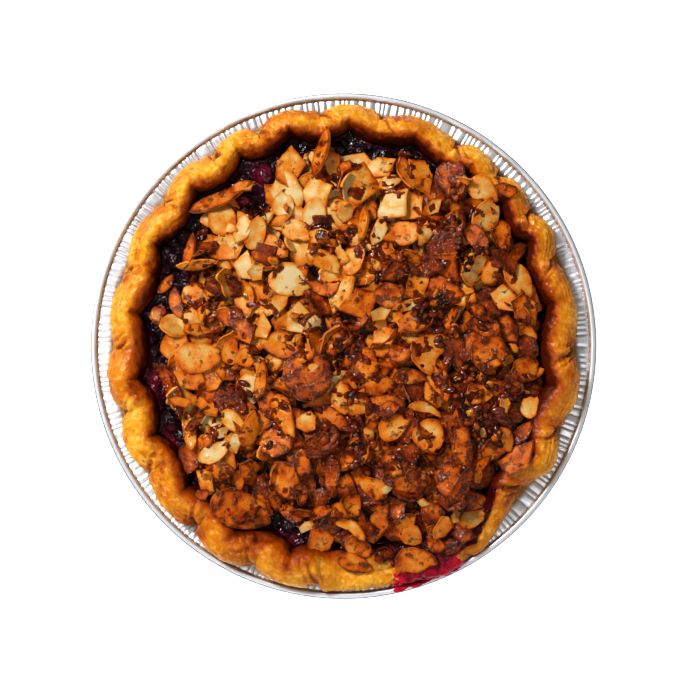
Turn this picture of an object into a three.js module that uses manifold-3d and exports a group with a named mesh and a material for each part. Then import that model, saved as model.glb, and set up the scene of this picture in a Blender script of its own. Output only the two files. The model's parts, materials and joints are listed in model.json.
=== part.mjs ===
// A small blueberry pie in its aluminium foil tin: a fluted shortcrust case, a glossy
// blueberry filling that shows round the edge, and a caramelised sliced-almond topping.
//
// Millimetres, +Z up. The origin is the middle of the tin's flat base, on its underside.
// +X is to the right and +Y to the back of the pie, which is looked at from straight above.

import * as THREE from "three";
import { mergeVertices } from "three/addons/utils/BufferGeometryUtils.js";
import Module from "manifold-3d";

const wasm = await Module();
wasm.setup();

// ---------------------------------------------------------------- driving dimensions

const GAP = 0.35; // air left between two pieces that touch

const TIN = {
  foil: 0.4, // wall thickness
  baseRadius: 60.2, // flat base
  cupRadius: 75.3, // where the wall meets the flange
  flangeHeight: 26.8,
  grooveRadius: 80.2, // the pressed line just inside the rolled rim
  grooveDepth: 0.6,
  beadRadius: 0.95, // the rolled rim's own section
  rimRadius: 82.5, // over the rolled rim
  pleats: 42, // folds in the sloping wall
  pleatDepth: 0.45,
};

// Where the dough was pinched inwards between finger and thumb, in degrees from +X.
const PINCHES = [
  -0.5, 23, 36, 48, 61, 81, 96, 112, 125, 142, 161, 181, 197, 213, 231, 248, 264, 283, 301, 321.5, 339,
];

const CRUST = {
  base: 0.75, // underside
  floor: 5.0, // top of the pastry under the filling
  floorRadius: 55.5,
  ledge: 27.5, // underside of the edge, over the flange
  overBead: 1.3, // how much the underside lifts where it laps over the rolled rim
  edgeRadius: 70.2, // middle of the rolled edge
  longer: 2.4, // the case is a little longer from front to back
  halfWidth: 4.9,
  wider: 1.1, // the edge is thicker at the front, thinner at the back
  flute: 1.9, // how far the flutes swing in and out
  crown: 36.2, // top of the edge
  stepsPerFlute: 5,
  slump: { from: 270, to: 309, fade: 10, out: 2.6, drop: 5.2 }, // where the edge sank and spread
  // How far out the dough reaches where it sank, and where it was dragged in past that:
  // [degrees from +X, furthest out it reaches].
  dragged: [
    [256, 82],
    [266, 79.6],
    [284, 79.2],
    [291, 80.4],
    [297, 81.9],
    [301, 81.8],
    [318, 74.6],
    [322, 72.9],
    [329, 79],
  ],
};

const FILLING = {
  level: 29.6, // height of the jam at the pastry
  dome: 0.6, // how much higher it stands in the middle
  climb: 0.7, // how far it climbs the pastry
  lip: 0.9, // height above the jam where the pastry's inner side begins to lean outwards
  rootRadius: 62, // where the wall of the case turns upright
  rootHeight: 24,
};

// Whole berries that show round the edge: [degrees from +X, distance from the middle, diameter].
const BERRIES = {
  berry_blush: [170.5, 62, 7.4],
  berry_west: [153, 63.6, 6.6],
  berry_northwest: [133.5, 65.5, 6.2],
  berry_notch: [121, 65.6, 5.6],
  berry_crimson_large: [114.5, 61, 7.4],
  berry_crimson_small: [124.5, 57.4, 5.4],
  berry_north_large: [106.5, 65, 7.4],
  berry_north: [91.5, 65.6, 6.6],
  berry_north_small: [85, 63.2, 5.4],
  berry_crimson_west: [190, 63.4, 5.2],
  berry_southwest: [209, 62.4, 5.6],
  berry_south: [253, 63, 6.2],
};

const TOPPING = {
  leanAngle: -20, // the heap is thicker on this side
  edge: 3.2, // thickness at its edge
  edgeLean: 1.8,
  middle: 6.2, // added thickness in the middle
  lump: 0.7,
  slice: 1.5, // thickness of a sliced almond
  layout: 105, // places in the even layout
  seed: 20,
  seeds: 12,
};

// The uneven outline of the heap: [degrees from +X, distance from the middle].
const HEAP_OUTLINE = [
  [0, 66.5], [20, 65], [40, 67], [62, 68], [72, 66], [80, 61], [92, 61.5], [96.5, 66], [101, 61.5],
  [110, 56.5], [121, 53], [131, 60], [142, 62], [151, 58], [161, 54], [172, 56], [184, 59.5],
  [205, 58.5], [214, 59.5], [224, 65.5], [240, 67], [249, 59], [257, 59], [268, 68], [292, 69.5],
  [320, 68], [340, 66.5],
];

// The outlines that sliced almonds break into.
const OVAL = "oval"; // a whole slice, pointed at one end
const HALF = "half"; // snapped across, with one straight side
const CHIP = "chip"; // a squarish broken piece

// The largest slices, which lie on top: [x, y, length, width, heading in degrees, outline].
const LARGE_SLICES = [
  [-40.5, 41.5, 13, 9, 95, OVAL],
  [-32.5, 38, 13, 8, 60, HALF],
  [-13, 56.5, 17, 12, 110, CHIP],
  [-8.5, 47, 12, 11, 90, CHIP],
  [-18, 45.5, 12, 8.5, 100, OVAL],
  [-31.5, 26, 12, 9, 80, OVAL],
  [-17, 21, 14, 12.5, 120, OVAL],
  [-37.5, 19, 15, 7.5, -10, OVAL],
  [-47.5, 15, 12, 7, -15, OVAL],
  [-14.5, 9, 10, 9, 85, CHIP],
  [4.5, 52, 15, 13, 60, CHIP],
  [13.5, 57.5, 13, 8, 15, CHIP],
  [16, 45.5, 11, 10, 30, CHIP],
  [26, 54, 14, 9, 70, CHIP],
  [36, 51.5, 12.5, 11.5, 90, OVAL],
  [46, 47.5, 13, 10, 70, CHIP],
  [34.5, 34.5, 24, 9, 62, OVAL],
  [44.5, 34, 15, 6, -60, OVAL],
  [21, 37, 11, 9, 20, CHIP],
  [32.5, 19, 14, 8.5, -20, OVAL],
  [16.5, 15, 14, 11.5, 0, OVAL],
  [4.5, 13, 14, 13, 30, CHIP],
  [55.5, 23.5, 13, 8, -55, OVAL],
  [56.5, 9.5, 13, 8, -65, CHIP],
  [46.5, 13.5, 14, 7, -40, OVAL],
  [-48, -4, 21, 10, -5, OVAL],
  [-51, -17, 22, 8, -65, HALF],
  [-11, -9, 18, 17, 0, OVAL],
  [-36, -26, 13, 9, -40, HALF],
  [-42.5, -32, 14, 13, 20, CHIP],
  [-20.5, -24, 16, 10, -60, OVAL],
  [-7, -31.5, 15, 10, 15, CHIP],
  [-18.5, -45, 14, 10, -60, CHIP],
  [-37.5, -41.5, 14, 11, 0, CHIP],
  [-30, -53, 24, 12, -12, OVAL],
  [5.5, -7, 12.5, 8.5, 0, CHIP],
  [22, -10, 12.5, 7, 0, OVAL],
  [48.5, -4, 16, 12, -70, OVAL],
  [45, -17, 10, 9, 10, CHIP],
  [17, -26, 13, 10, 40, HALF],
  [28, -31, 12.5, 11.5, 10, OVAL],
  [39, -32, 22, 8, 75, OVAL],
  [33, -45, 15, 8, 80, OVAL],
  [51.5, -36, 15, 9, 30, HALF],
  [19, -57, 13, 9, 20, HALF],
];

// ---------------------------------------------------------------- small helpers

const rad = THREE.MathUtils.degToRad;
const lerp = THREE.MathUtils.lerp;
const smoothstep = THREE.MathUtils.smoothstep;

/** A repeatable stream of numbers from 0 to 1. */
function seededRandom(seed) {
  let state = seed >>> 0;
  return () => {
    state = (Math.imul(state, 1664525) + 1013904223) >>> 0;
    return state / 4294967296;
  };
}

/** A fixed irregularity from -1 to 1 for flute number i. */
function unevenness(i, kind) {
  const wave = Math.sin(i * 12.9898 + kind * 78.233) * 43758.5453;
  return 2 * (wave - Math.floor(wave)) - 1;
}

/** 1 inside an arc of the rim given in degrees, falling to 0 over `fade` degrees outside it. */
function inArc(degrees, from, to, fade) {
  const d = THREE.MathUtils.euclideanModulo(degrees - (from + to) / 2 + 180, 360) - 180;
  return 1 - smoothstep(Math.abs(d), (to - from) / 2, (to - from) / 2 + fade);
}

/** A closed solid swept round the axis: profileAt(angle) gives [radius, height] points whose
 *  first and last lie on the axis. The profile runs anticlockwise seen with Z up. A solid that
 *  fits inside another is cut into triangles along the `other` diagonal, so the faces match. */
function turnedSolid(angles, profileAt, other = false) {
  const rings = angles.map(profileAt);
  const last = rings[0].length - 1;
  const positions = [];
  const index = [];
  rings.forEach((profile, a) =>
    profile.slice(1, last).forEach(([r, z]) => {
      positions.push(r * Math.cos(angles[a]), r * Math.sin(angles[a]), z);
    }),
  );
  const start = positions.length / 3;
  positions.push(0, 0, rings[0][0][1], 0, 0, rings[0][last][1]);
  const inner = last - 1;
  const at = (a, p) => (a % angles.length) * inner + p;
  angles.forEach((_, a) => {
    index.push(start, at(a + 1, 0), at(a, 0));
    for (let p = 0; p < inner - 1; p++) {
      const [p0, p1, q0, q1] = [at(a, p), at(a, p + 1), at(a + 1, p), at(a + 1, p + 1)];
      if (other) index.push(p0, q0, p1, q0, q1, p1);
      else index.push(p0, q0, q1, p0, q1, p1);
    }
    index.push(start + 1, at(a, inner - 1), at(a + 1, inner - 1));
  });
  return new THREE.BufferGeometry()
    .setAttribute("position", new THREE.Float32BufferAttribute(positions, 3))
    .setIndex(index);
}

/** A geometry as a solid that can be joined and cut. */
function toSolid(geometry) {
  const bare = new THREE.BufferGeometry()
    .setAttribute("position", geometry.getAttribute("position").clone())
    .setIndex(geometry.index ? geometry.index.clone() : null);
  const merged = mergeVertices(bare, 1e-4);
  return new wasm.Manifold(
    new wasm.Mesh({
      numProp: 3,
      vertProperties: merged.getAttribute("position").array,
      triVerts: new Uint32Array(merged.index.array),
    }),
  );
}

/** A joined or cut solid back as a geometry. */
function toGeometry(solid) {
  const mesh = solid.getMesh();
  return new THREE.BufferGeometry()
    .setAttribute("position", new THREE.Float32BufferAttribute(mesh.vertProperties, 3))
    .setIndex(new THREE.BufferAttribute(mesh.triVerts, 1));
}

/** The largest body of a solid, without any loose scraps. */
function largestBody(solid) {
  return solid.decompose().reduce((a, b) => (a.volume() > b.volume() ? a : b));
}

/** A polyline of [radius, height, ...] moved sideways by `distance`, to its left. */
function offsetLine(points, distance) {
  return points.map(([r, z, pleat], i) => {
    const [r0, z0] = points[Math.max(i - 1, 0)];
    const [r1, z1] = points[Math.min(i + 1, points.length - 1)];
    const length = Math.hypot(r1 - r0, z1 - z0);
    return [r - (distance * (z1 - z0)) / length, z + (distance * (r1 - r0)) / length, pleat];
  });
}

// ---------------------------------------------------------------- the foil tin

/** The foil's middle line from the axis out to the rolled rim: [radius, height, share of the pleats]. */
function foilLine() {
  const half = TIN.foil / 2;
  const z = TIN.flangeHeight;
  const groove = TIN.grooveRadius;
  return [
    [0, half, 0],
    [TIN.baseRadius, half, 0],
    [TIN.cupRadius, z - 0.5, 1],
    [TIN.cupRadius + 1.2, z, 0.3],
    [groove - 0.5, z, 0],
    [groove, z - TIN.grooveDepth, 0],
    [groove + 0.5, z, 0],
  ];
}

/** The rolled rim's section, from the top of the flange round to its underside. */
function beadArc() {
  const r = TIN.rimRadius - TIN.beadRadius;
  const z = TIN.flangeHeight + 0.5;
  return [150, 85, 20, -45, -110].map((degrees) => [
    r + TIN.beadRadius * Math.cos(rad(degrees)),
    z + TIN.beadRadius * Math.sin(rad(degrees)),
    0,
  ]);
}

function tinGeometry() {
  const steps = TIN.pleats * 2;
  const angles = Array.from({ length: steps }, (_, k) => (k / steps) * 2 * Math.PI);
  const line = foilLine();
  const top = offsetLine(line, TIN.foil / 2);
  const under = offsetLine(line, -TIN.foil / 2);
  top[0][0] = under[0][0] = 0;
  under[0][1] = under[1][1] = 0;
  const profile = [...under.slice(0, -1), ...beadArc().reverse(), ...top.reverse()];
  const wallLean = new THREE.Vector2(TIN.flangeHeight, TIN.baseRadius - TIN.cupRadius).normalize();
  return turnedSolid(angles, (angle) => {
    const fold = TIN.pleatDepth * Math.cos(TIN.pleats * angle);
    return profile.map(([r, z, pleat]) => [
      r + fold * pleat * wallLean.x,
      z + fold * pleat * wallLean.y,
    ]);
  });
}

// ---------------------------------------------------------------- the pastry case

/** Height or radius at `turn` degrees along a list of [degrees, value], joined by straight lines. */
function along(list, turn) {
  const i = list.findLastIndex(([from]) => from <= turn);
  const [from, start] = list[i];
  const [to, end] = list[i + 1] ?? [list[0][0] + 360, list[0][1]];
  return lerp(start, end, (turn - from) / (to - from));
}

/** How far out the pastry may reach at an angle in degrees. */
function draggedReach(turn) {
  const { dragged } = CRUST;
  const free = TIN.rimRadius - 0.6;
  if (turn < dragged[0][0] || turn > dragged[dragged.length - 1][0]) return free;
  return Math.min(free, along(dragged, turn));
}

/** The edge of the pastry at an angle in degrees: its radii and the height of its crown. */
function edgeAt(degrees) {
  const first = PINCHES[0];
  const turn = THREE.MathUtils.euclideanModulo(degrees - first, 360) + first;
  let i = PINCHES.length - 1;
  while (PINCHES[i] > turn + 1e-9) i--;
  const next = i + 1 < PINCHES.length ? PINCHES[i + 1] : first + 360;
  const u = THREE.MathUtils.clamp((turn - PINCHES[i]) / (next - PINCHES[i]), 0, 1);
  const { from, to, fade, out, drop } = CRUST.slump;
  const slump = inArc(degrees, from, to, fade);
  const flute = CRUST.flute * (1 - 0.7 * slump);
  const sine = Math.sin(rad(turn));
  const middle = CRUST.edgeRadius + CRUST.longer * sine * sine + 0.5 * unevenness(i, 1) * Math.sin(Math.PI * u);
  const halfWidth = CRUST.halfWidth - CRUST.wider * sine;
  const swell = Math.pow(Math.sin(Math.PI * u), 0.7);
  const lobe = Math.pow(Math.abs(Math.cos(Math.PI * u)), 0.7);
  const outer = middle + halfWidth + flute * (2 * swell - 1) + out * slump;
  const inner = middle - halfWidth - flute * (2 * lobe - 1);
  const crown = CRUST.crown + 0.7 * swell + 0.5 * unevenness(i, 2) * swell - drop * slump;
  return { outer: Math.min(outer, draggedReach(turn)), inner, crown };
}

/** The angles at which the pastry and the filling are cut, so many to each flute. */
function fluteAngles() {
  const closed = [...PINCHES, PINCHES[0] + 360];
  return PINCHES.flatMap((from, i) =>
    Array.from({ length: CRUST.stepsPerFlute }, (_, s) =>
      rad(lerp(from, closed[i + 1], s / CRUST.stepsPerFlute)),
    ),
  );
}

/** Height of the underside of the pastry's edge at a radius. */
function ledgeAt(radius) {
  return CRUST.ledge + CRUST.overBead * smoothstep(radius, 78.6, 80.2);
}

function crustGeometry() {
  return turnedSolid(fluteAngles(), (angle) => {
    const { outer, inner, crown } = edgeAt(THREE.MathUtils.radToDeg(angle));
    const ledge = ledgeAt(outer - 1.2);
    const rise = crown - ledge;
    const middle = (outer + inner) / 2;
    const half = (outer - inner) / 2;
    const lip = FILLING.level + FILLING.lip;
    return [
      [0, CRUST.base],
      [TIN.baseRadius - 0.7, CRUST.base],
      [TIN.cupRadius - 1.5, TIN.flangeHeight - 0.6],
      [TIN.cupRadius - 0.1, CRUST.ledge],
      [outer - 1.2, ledge],
      [outer, ledge + 0.28 * rise],
      [outer - 0.9, ledge + 0.66 * rise],
      [middle + 0.42 * half, ledge + 0.95 * rise],
      [middle - 0.3 * half, crown],
      [inner + 0.22 * half, lerp(lip, crown, 0.72)],
      [inner, lip],
      [FILLING.rootRadius, FILLING.rootHeight],
      [CRUST.floorRadius, CRUST.floor],
      [0, CRUST.floor],
    ];
  });
}

// ---------------------------------------------------------------- filling and berries

/** The level of the jam at a radius. */
function jamLevel(radius) {
  return FILLING.level + FILLING.dome * Math.max(1 - radius / 66, 0);
}

function fillingSolid() {
  const { level, climb, lip, rootRadius, rootHeight } = FILLING;
  const share = (level + climb - rootHeight) / (level + lip - rootHeight);
  const body = turnedSolid(fluteAngles(), (angle) => {
    const wall = lerp(rootRadius, edgeAt(THREE.MathUtils.radToDeg(angle)).inner, share);
    const edge = wall - 1.6 * GAP;
    return [
      [0, CRUST.floor + GAP],
      [CRUST.floorRadius - GAP, CRUST.floor + GAP],
      [rootRadius - 1.3 * GAP, rootHeight],
      [edge, level + climb],
      [edge - 3.5, jamLevel(edge - 3.5)],
      [0, jamLevel(0)],
    ];
  }, true);
  const pockets = Object.values(BERRIES).map((berry) => toSolid(berryGeometry(berry, GAP)));
  return toSolid(body).subtract(wasm.Manifold.union(pockets));
}

/** Where a berry lies: as far out as it is listed, or as the pastry beside it allows. */
function berryCentre([degrees, radius, diameter]) {
  const beside = [-2.5, 0, 2.5].map((turn) => edgeAt(degrees + turn).inner);
  const out = Math.min(radius, Math.min(...beside) - diameter / 2 - 2 * GAP);
  return new THREE.Vector3(
    out * Math.cos(rad(degrees)),
    out * Math.sin(rad(degrees)),
    jamLevel(out) + 0.08 * diameter,
  );
}

/** A berry, a little flattened, or with `extra` the pocket that it sits in. */
function berryGeometry(berry, extra = 0) {
  const geometry = new THREE.SphereGeometry(berry[2] / 2 + extra, 7, 5);
  geometry.rotateX(Math.PI / 2);
  geometry.scale(1, 1, 0.9);
  const centre = berryCentre(berry);
  geometry.translate(centre.x, centre.y, centre.z);
  return geometry;
}

// ---------------------------------------------------------------- the almond topping

/** How far the heap reaches at an angle in degrees, never past the pastry. */
function heapReach(degrees) {
  const reach = along(HEAP_OUTLINE, THREE.MathUtils.euclideanModulo(degrees, 360));
  return Math.min(reach, edgeAt(degrees).inner - 1.8);
}

/** The top of the heap's core. */
function heapTop(x, y) {
  const degrees = THREE.MathUtils.radToDeg(Math.atan2(y, x));
  const radius = Math.hypot(x, y);
  const share = Math.min(radius / heapReach(degrees), 1);
  const lean = Math.cos(rad(degrees - TOPPING.leanAngle)) * share;
  const lumps = TOPPING.lump * Math.sin(0.31 * x + 1.3) * Math.cos(0.27 * y - 0.4);
  const thickness =
    TOPPING.edge + TOPPING.edgeLean * lean + TOPPING.middle * (1 - share * share) + lumps;
  return jamLevel(radius) + GAP + thickness;
}

function heapCore() {
  const count = 60;
  const angles = Array.from({ length: count }, (_, k) => (k / count) * 2 * Math.PI);
  const pockets = Object.values(BERRIES).map((berry) => toSolid(berryGeometry(berry, GAP)));
  const body = toSolid(
    turnedSolid(angles, (angle) => {
      const reach = heapReach(THREE.MathUtils.radToDeg(angle));
      const topAt = (share) => [
        reach * share,
        heapTop(reach * share * Math.cos(angle), reach * share * Math.sin(angle)),
      ];
      const under = (radius) => [radius, jamLevel(radius) + 1.3 * GAP];
      const brow = topAt(0.93);
      return [
        under(0),
        under(48),
        under(reach - 3.5),
        [reach, lerp(under(reach)[1], topAt(1)[1], 0.5)],
        brow,
        topAt(0.7),
        topAt(0.4),
        [0, heapTop(0, 0)],
      ];
    }),
  );
  return body.subtract(wasm.Manifold.union(pockets));
}

/** The outline of a slice, flat on the plane and centred. */
function sliceOutline(length, width, outline) {
  const shape = new THREE.Shape();
  const sides = outline === OVAL ? 7 : 5;
  const corner = {
    [OVAL]: (k) => {
      const a = ((k + 0.5) / sides) * 2 * Math.PI;
      return [0.52 * length * Math.cos(a), 0.52 * width * Math.sin(a) * (1 - 0.25 * Math.cos(a))];
    },
    [HALF]: (k) => {
      const a = (k / (sides - 1)) * Math.PI;
      return [0.5 * length * Math.cos(a), width * (Math.sin(a) - 0.45)];
    },
    [CHIP]: (k) =>
      [
        [-0.5, -0.38],
        [0.42, -0.5],
        [0.5, 0.3],
        [0.1, 0.5],
        [-0.44, 0.42],
      ].map(([x, y]) => [x * length, y * width])[k],
  }[outline];
  for (let k = 0; k < sides; k++) shape[k ? "lineTo" : "moveTo"](...corner(k));
  shape.closePath();
  return shape;
}

/** One slice lying on the heap: turned to its heading, tipped, and bedded into the core. */
function sliceGeometry({ x, y, length, width, heading, outline, tip, tipTowards, lift }) {
  const geometry = new THREE.ExtrudeGeometry(sliceOutline(length, width, outline), {
    depth: TOPPING.slice,
    bevelEnabled: false,
  });
  geometry.deleteAttribute("normal");
  geometry.deleteAttribute("uv");
  geometry.translate(0, 0, -TOPPING.slice / 2);
  geometry.rotateZ(rad(heading));
  const axis = new THREE.Vector3(-Math.sin(rad(tipTowards)), Math.cos(rad(tipTowards)), 0);
  geometry.applyMatrix4(new THREE.Matrix4().makeRotationAxis(axis, -rad(tip)));
  geometry.translate(x, y, heapTop(x, y) + lift);
  return geometry;
}

/** Everything that the topping keeps clear of. */
function keepOut() {
  const berries = Object.values(BERRIES).map((berry) => toSolid(berryGeometry(berry)));
  return wasm.Manifold.union([toSolid(crustGeometry()), fillingSolid(), ...berries]);
}

/** A slice slid inwards, lifted and tipped until it is clear of `others`, or nothing. */
function fittedSlice(slice, others) {
  for (let attempt = 0; attempt < 8; attempt++) {
    const geometry = sliceGeometry({
      ...slice,
      x: slice.x * (1 - 0.01 * attempt),
      y: slice.y * (1 - 0.01 * attempt),
      lift: slice.lift + 0.3 * attempt,
      tip: slice.tip - (slice.outward ? 3 * attempt : 0),
    });
    const solid = toSolid(geometry);
    if (others.minGap(solid, 1) > 0.9 * GAP) return solid;
  }
  return null;
}

/** The large slices, then smaller ones in an even layout wherever the large ones leave room. */
function sliceList() {
  const random = seededRandom(TOPPING.seed);
  const golden = 180 * (3 - Math.sqrt(5));
  const placed = (x, y, length, width, heading, outline) => {
    const degrees = THREE.MathUtils.radToDeg(Math.atan2(y, x));
    const outward = Math.hypot(x, y) > 52;
    return {
      x,
      y,
      length,
      width,
      heading,
      outline,
      outward,
      tip: outward ? -6 + 10 * random() : 4 + 16 * random(),
      tipTowards: outward ? degrees : 360 * random(),
      lift: 0.35 + 0.5 * random(),
    };
  };
  const slices = LARGE_SLICES.map((slice) => placed(...slice));
  for (let k = 0; k < TOPPING.layout; k++) {
    const degrees = k * golden;
    const radius = Math.sqrt((k + 0.5) / TOPPING.layout) * heapReach(degrees) * 0.97;
    const x = radius * Math.cos(rad(degrees)) + 3 * (random() - 0.5);
    const y = radius * Math.sin(rad(degrees)) + 3 * (random() - 0.5);
    const length = 8 + 5 * random();
    const width = length * (0.55 + 0.3 * random());
    const outline = [OVAL, HALF, CHIP, CHIP][Math.floor(4 * random())];
    const slice = placed(x, y, length, width, 360 * random(), outline);
    if (slices.every((other) => Math.hypot(other.x - x, other.y - y) > 0.3 * (other.length + length))) {
      slices.push(slice);
    }
  }
  return slices;
}

/** Linseeds scattered over the heap, each half bedded in it. */
function seedGeometries() {
  const random = seededRandom(TOPPING.seed + 1);
  return Array.from({ length: TOPPING.seeds }, (_, k) => {
    const degrees = k * 137.5 + 40;
    const radius = Math.sqrt((k + 0.5) / TOPPING.seeds) * heapReach(degrees) * 0.9;
    const x = radius * Math.cos(rad(degrees));
    const y = radius * Math.sin(rad(degrees));
    const geometry = new THREE.OctahedronGeometry(1, 0);
    geometry.scale(2.7, 1.3, 0.8);
    geometry.rotateZ(2 * Math.PI * random());
    geometry.translate(x, y, heapTop(x, y) + 0.3);
    return geometry;
  });
}

function toppingSolid() {
  const others = keepOut();
  const slices = sliceList().map((slice) => fittedSlice(slice, others)).filter(Boolean);
  const seeds = seedGeometries().map(toSolid);
  return largestBody(wasm.Manifold.union([heapCore(), ...slices, ...seeds]).simplify(0.05));
}

// ---------------------------------------------------------------- the whole pie

const FINISHES = {
  foil: new THREE.MeshStandardMaterial({ color: "#d9dadd", roughness: 0.3, metalness: 1 }),
  pastry: new THREE.MeshStandardMaterial({ color: "#d98e33", roughness: 0.5, metalness: 0 }),
  jam: new THREE.MeshStandardMaterial({ color: "#22070f", roughness: 0.15, metalness: 0 }),
  berry: new THREE.MeshStandardMaterial({ color: "#1b1420", roughness: 0.25, metalness: 0 }),
  crimson: new THREE.MeshStandardMaterial({ color: "#7a1230", roughness: 0.2, metalness: 0 }),
  blush: new THREE.MeshStandardMaterial({ color: "#c9705a", roughness: 0.25, metalness: 0 }),
  almond: new THREE.MeshStandardMaterial({ color: "#c07a35", roughness: 0.4, metalness: 0 }),
};

const pie = new THREE.Group();

function addNode(name, geometry, finish) {
  const mesh = new THREE.Mesh(geometry, finish);
  mesh.name = name;
  pie.add(mesh);
}

addNode("tin", tinGeometry(), FINISHES.foil);
addNode("crust", crustGeometry(), FINISHES.pastry);
addNode("filling", toGeometry(fillingSolid()), FINISHES.jam);
for (const [name, berry] of Object.entries(BERRIES)) {
  const finish = name.includes("crimson") ? FINISHES.crimson : FINISHES.berry;
  addNode(name, berryGeometry(berry), name.includes("blush") ? FINISHES.blush : finish);
}
addNode("almond_topping", toGeometry(toppingSolid()), FINISHES.almond);

export default pie;
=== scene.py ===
"""A small blueberry pie in its foil tin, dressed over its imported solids.

The classes hold their sizes in millimetres and build meshes in metres, with +Z up and the
origin in the middle of the tin's flat base. Angles are degrees anticlockwise from +X.
"""

import json
import logging
import math
from collections.abc import Callable, Iterable, Iterator
from dataclasses import dataclass, field
from enum import Enum
from typing import ClassVar

import bpy
import numpy as np
from bpy.types import Collection, Material, Mesh, Node, NodeOutputs, NodeSocket, NodeTree, Object
from mathutils import Matrix, Vector

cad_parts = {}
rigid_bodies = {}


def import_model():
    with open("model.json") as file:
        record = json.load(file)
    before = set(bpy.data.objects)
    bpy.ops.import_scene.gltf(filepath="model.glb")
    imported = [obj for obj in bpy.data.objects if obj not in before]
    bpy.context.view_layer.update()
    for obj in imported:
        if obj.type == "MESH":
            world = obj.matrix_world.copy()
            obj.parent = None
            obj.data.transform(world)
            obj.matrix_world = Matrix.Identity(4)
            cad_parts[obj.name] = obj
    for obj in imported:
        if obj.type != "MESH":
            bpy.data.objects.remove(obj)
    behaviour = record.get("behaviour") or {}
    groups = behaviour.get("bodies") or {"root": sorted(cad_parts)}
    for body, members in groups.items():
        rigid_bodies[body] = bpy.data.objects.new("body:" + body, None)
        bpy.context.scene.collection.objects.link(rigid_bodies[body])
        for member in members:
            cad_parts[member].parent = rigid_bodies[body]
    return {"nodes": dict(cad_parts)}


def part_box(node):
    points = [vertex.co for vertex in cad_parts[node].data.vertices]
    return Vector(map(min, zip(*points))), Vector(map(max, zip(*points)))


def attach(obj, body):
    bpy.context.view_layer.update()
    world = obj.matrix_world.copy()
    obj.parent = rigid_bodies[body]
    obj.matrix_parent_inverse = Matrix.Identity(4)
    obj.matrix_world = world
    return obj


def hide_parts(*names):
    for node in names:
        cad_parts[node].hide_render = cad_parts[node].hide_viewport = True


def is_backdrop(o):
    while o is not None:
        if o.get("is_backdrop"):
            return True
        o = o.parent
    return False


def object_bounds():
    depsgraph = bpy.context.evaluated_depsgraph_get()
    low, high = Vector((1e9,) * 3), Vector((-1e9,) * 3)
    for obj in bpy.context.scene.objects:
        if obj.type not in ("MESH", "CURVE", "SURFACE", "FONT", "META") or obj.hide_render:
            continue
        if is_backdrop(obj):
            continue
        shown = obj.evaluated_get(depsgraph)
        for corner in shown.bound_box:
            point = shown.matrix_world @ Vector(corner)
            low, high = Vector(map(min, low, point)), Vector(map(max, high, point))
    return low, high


Array = np.ndarray
Colour = tuple[float, float, float, float]
Inputs = dict[str, object]
Stops = tuple[tuple[float, str], ...]
Spot = tuple[float, float, float]
Spots = list[Spot]
Names = tuple[str, ...]
Noise = tuple[float, ...]
MM = 0.001
CM_PER_M = 100.0
BODY = "root"
SOCKET_KINDS = {int: "Int", float: "Float", Material: "Material", Collection: "Collection"}
LOG = logging.getLogger("pie")


# ------------------------------------------------------------------ small tools


def linear(hex_colour: str) -> Colour:
    """Turns an sRGB hex colour into the linear one that shaders take.

    Args:
        hex_colour: The colour as "#rrggbb".

    Returns:
        Red, green, blue and alpha, linear.
    """
    channels = [int(hex_colour[i : i + 2], 16) / 255 for i in (1, 3, 5)]
    curve = [c / 12.92 if c <= 0.04045 else ((c + 0.055) / 1.055) ** 2.4 for c in channels]
    return (*curve, 1.0)


def per_mm(size: float) -> float:
    """Texture scale at which one feature is `size` millimetres on coordinates in metres."""
    return 1 / (size * MM)


def smoothstep(value: Array, low: float, high: float) -> Array:
    """Rises smoothly from 0 at `low` to 1 at `high`."""
    t = np.clip((value - low) / (high - low), 0, 1)
    return t * t * (3 - 2 * t)


def fall(value: Array, high: float, low: float) -> Array:
    """Falls smoothly from 1 at `high` to 0 at `low`."""
    return 1 - smoothstep(value, high, low)


def band(value: Array, start: float, full: float, fade: float, end: float) -> Array:
    """Rises from 0 at `start` to 1 at `full`, and falls again from `fade` to `end`."""
    return smoothstep(value, start, full) * fall(value, fade, end)


def smooth_noise(points: Array, size: float, seed: int) -> Array:
    """Seeded smooth noise.

    Args:
        points: Positions in millimetres, in rows of three.
        size: Width of one hump in millimetres.
        seed: Picks the pattern.

    Returns:
        One value from -1 to 1 for each point.
    """
    shape = points.shape[:-1]
    p = points.reshape(-1, 3) / size + 31.7 * seed
    cell = np.floor(p).astype(np.int64)
    part = p - cell
    part = part * part * (3 - 2 * part)
    total = np.zeros(len(p))
    for corner in range(8):
        step = np.array([corner & 1, corner >> 1 & 1, corner >> 2 & 1])
        key = (cell + step) @ np.array([374761393, 668265263, 1442695041]) + seed * 8191
        key = (key ^ (key >> 13)) * 1274126177
        key = (key ^ (key >> 16)) & 0xFFFFFF
        total += np.prod(np.where(step == 1, part, 1 - part), axis=1) * key
    return (total / 0x7FFFFF - 1).reshape(shape)


def layered_noise(points: Array, size: float, seed: int, layers: int = 3) -> Array:
    """Smooth noise with finer layers on it, each half the size and height of the last."""
    return sum(smooth_noise(points, size / 2**k, seed + k) / 2**k for k in range(layers)) / 1.6


def positions(x: Array, y: Array, z: Array | float = 0.0) -> Array:
    """Stacks coordinates into positions, in rows of three."""
    return np.stack(np.broadcast_arrays(x, y, z), axis=-1)


def spin(radius: Array | float, turn: Array, height: Array | float) -> Array:
    """Positions at a radius, an angle in radians and a height."""
    return positions(radius * np.cos(turn), radius * np.sin(turn), height)


def ball(rings: int, segments: int) -> Array:
    """A ball of radius 1, as profiles set round the axis."""
    up = np.linspace(-math.pi / 2, math.pi / 2, rings)[None, :]
    turn = (np.arange(segments) / segments * 2 * math.pi)[:, None]
    return spin(np.cos(up), turn, np.sin(up))


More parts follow.
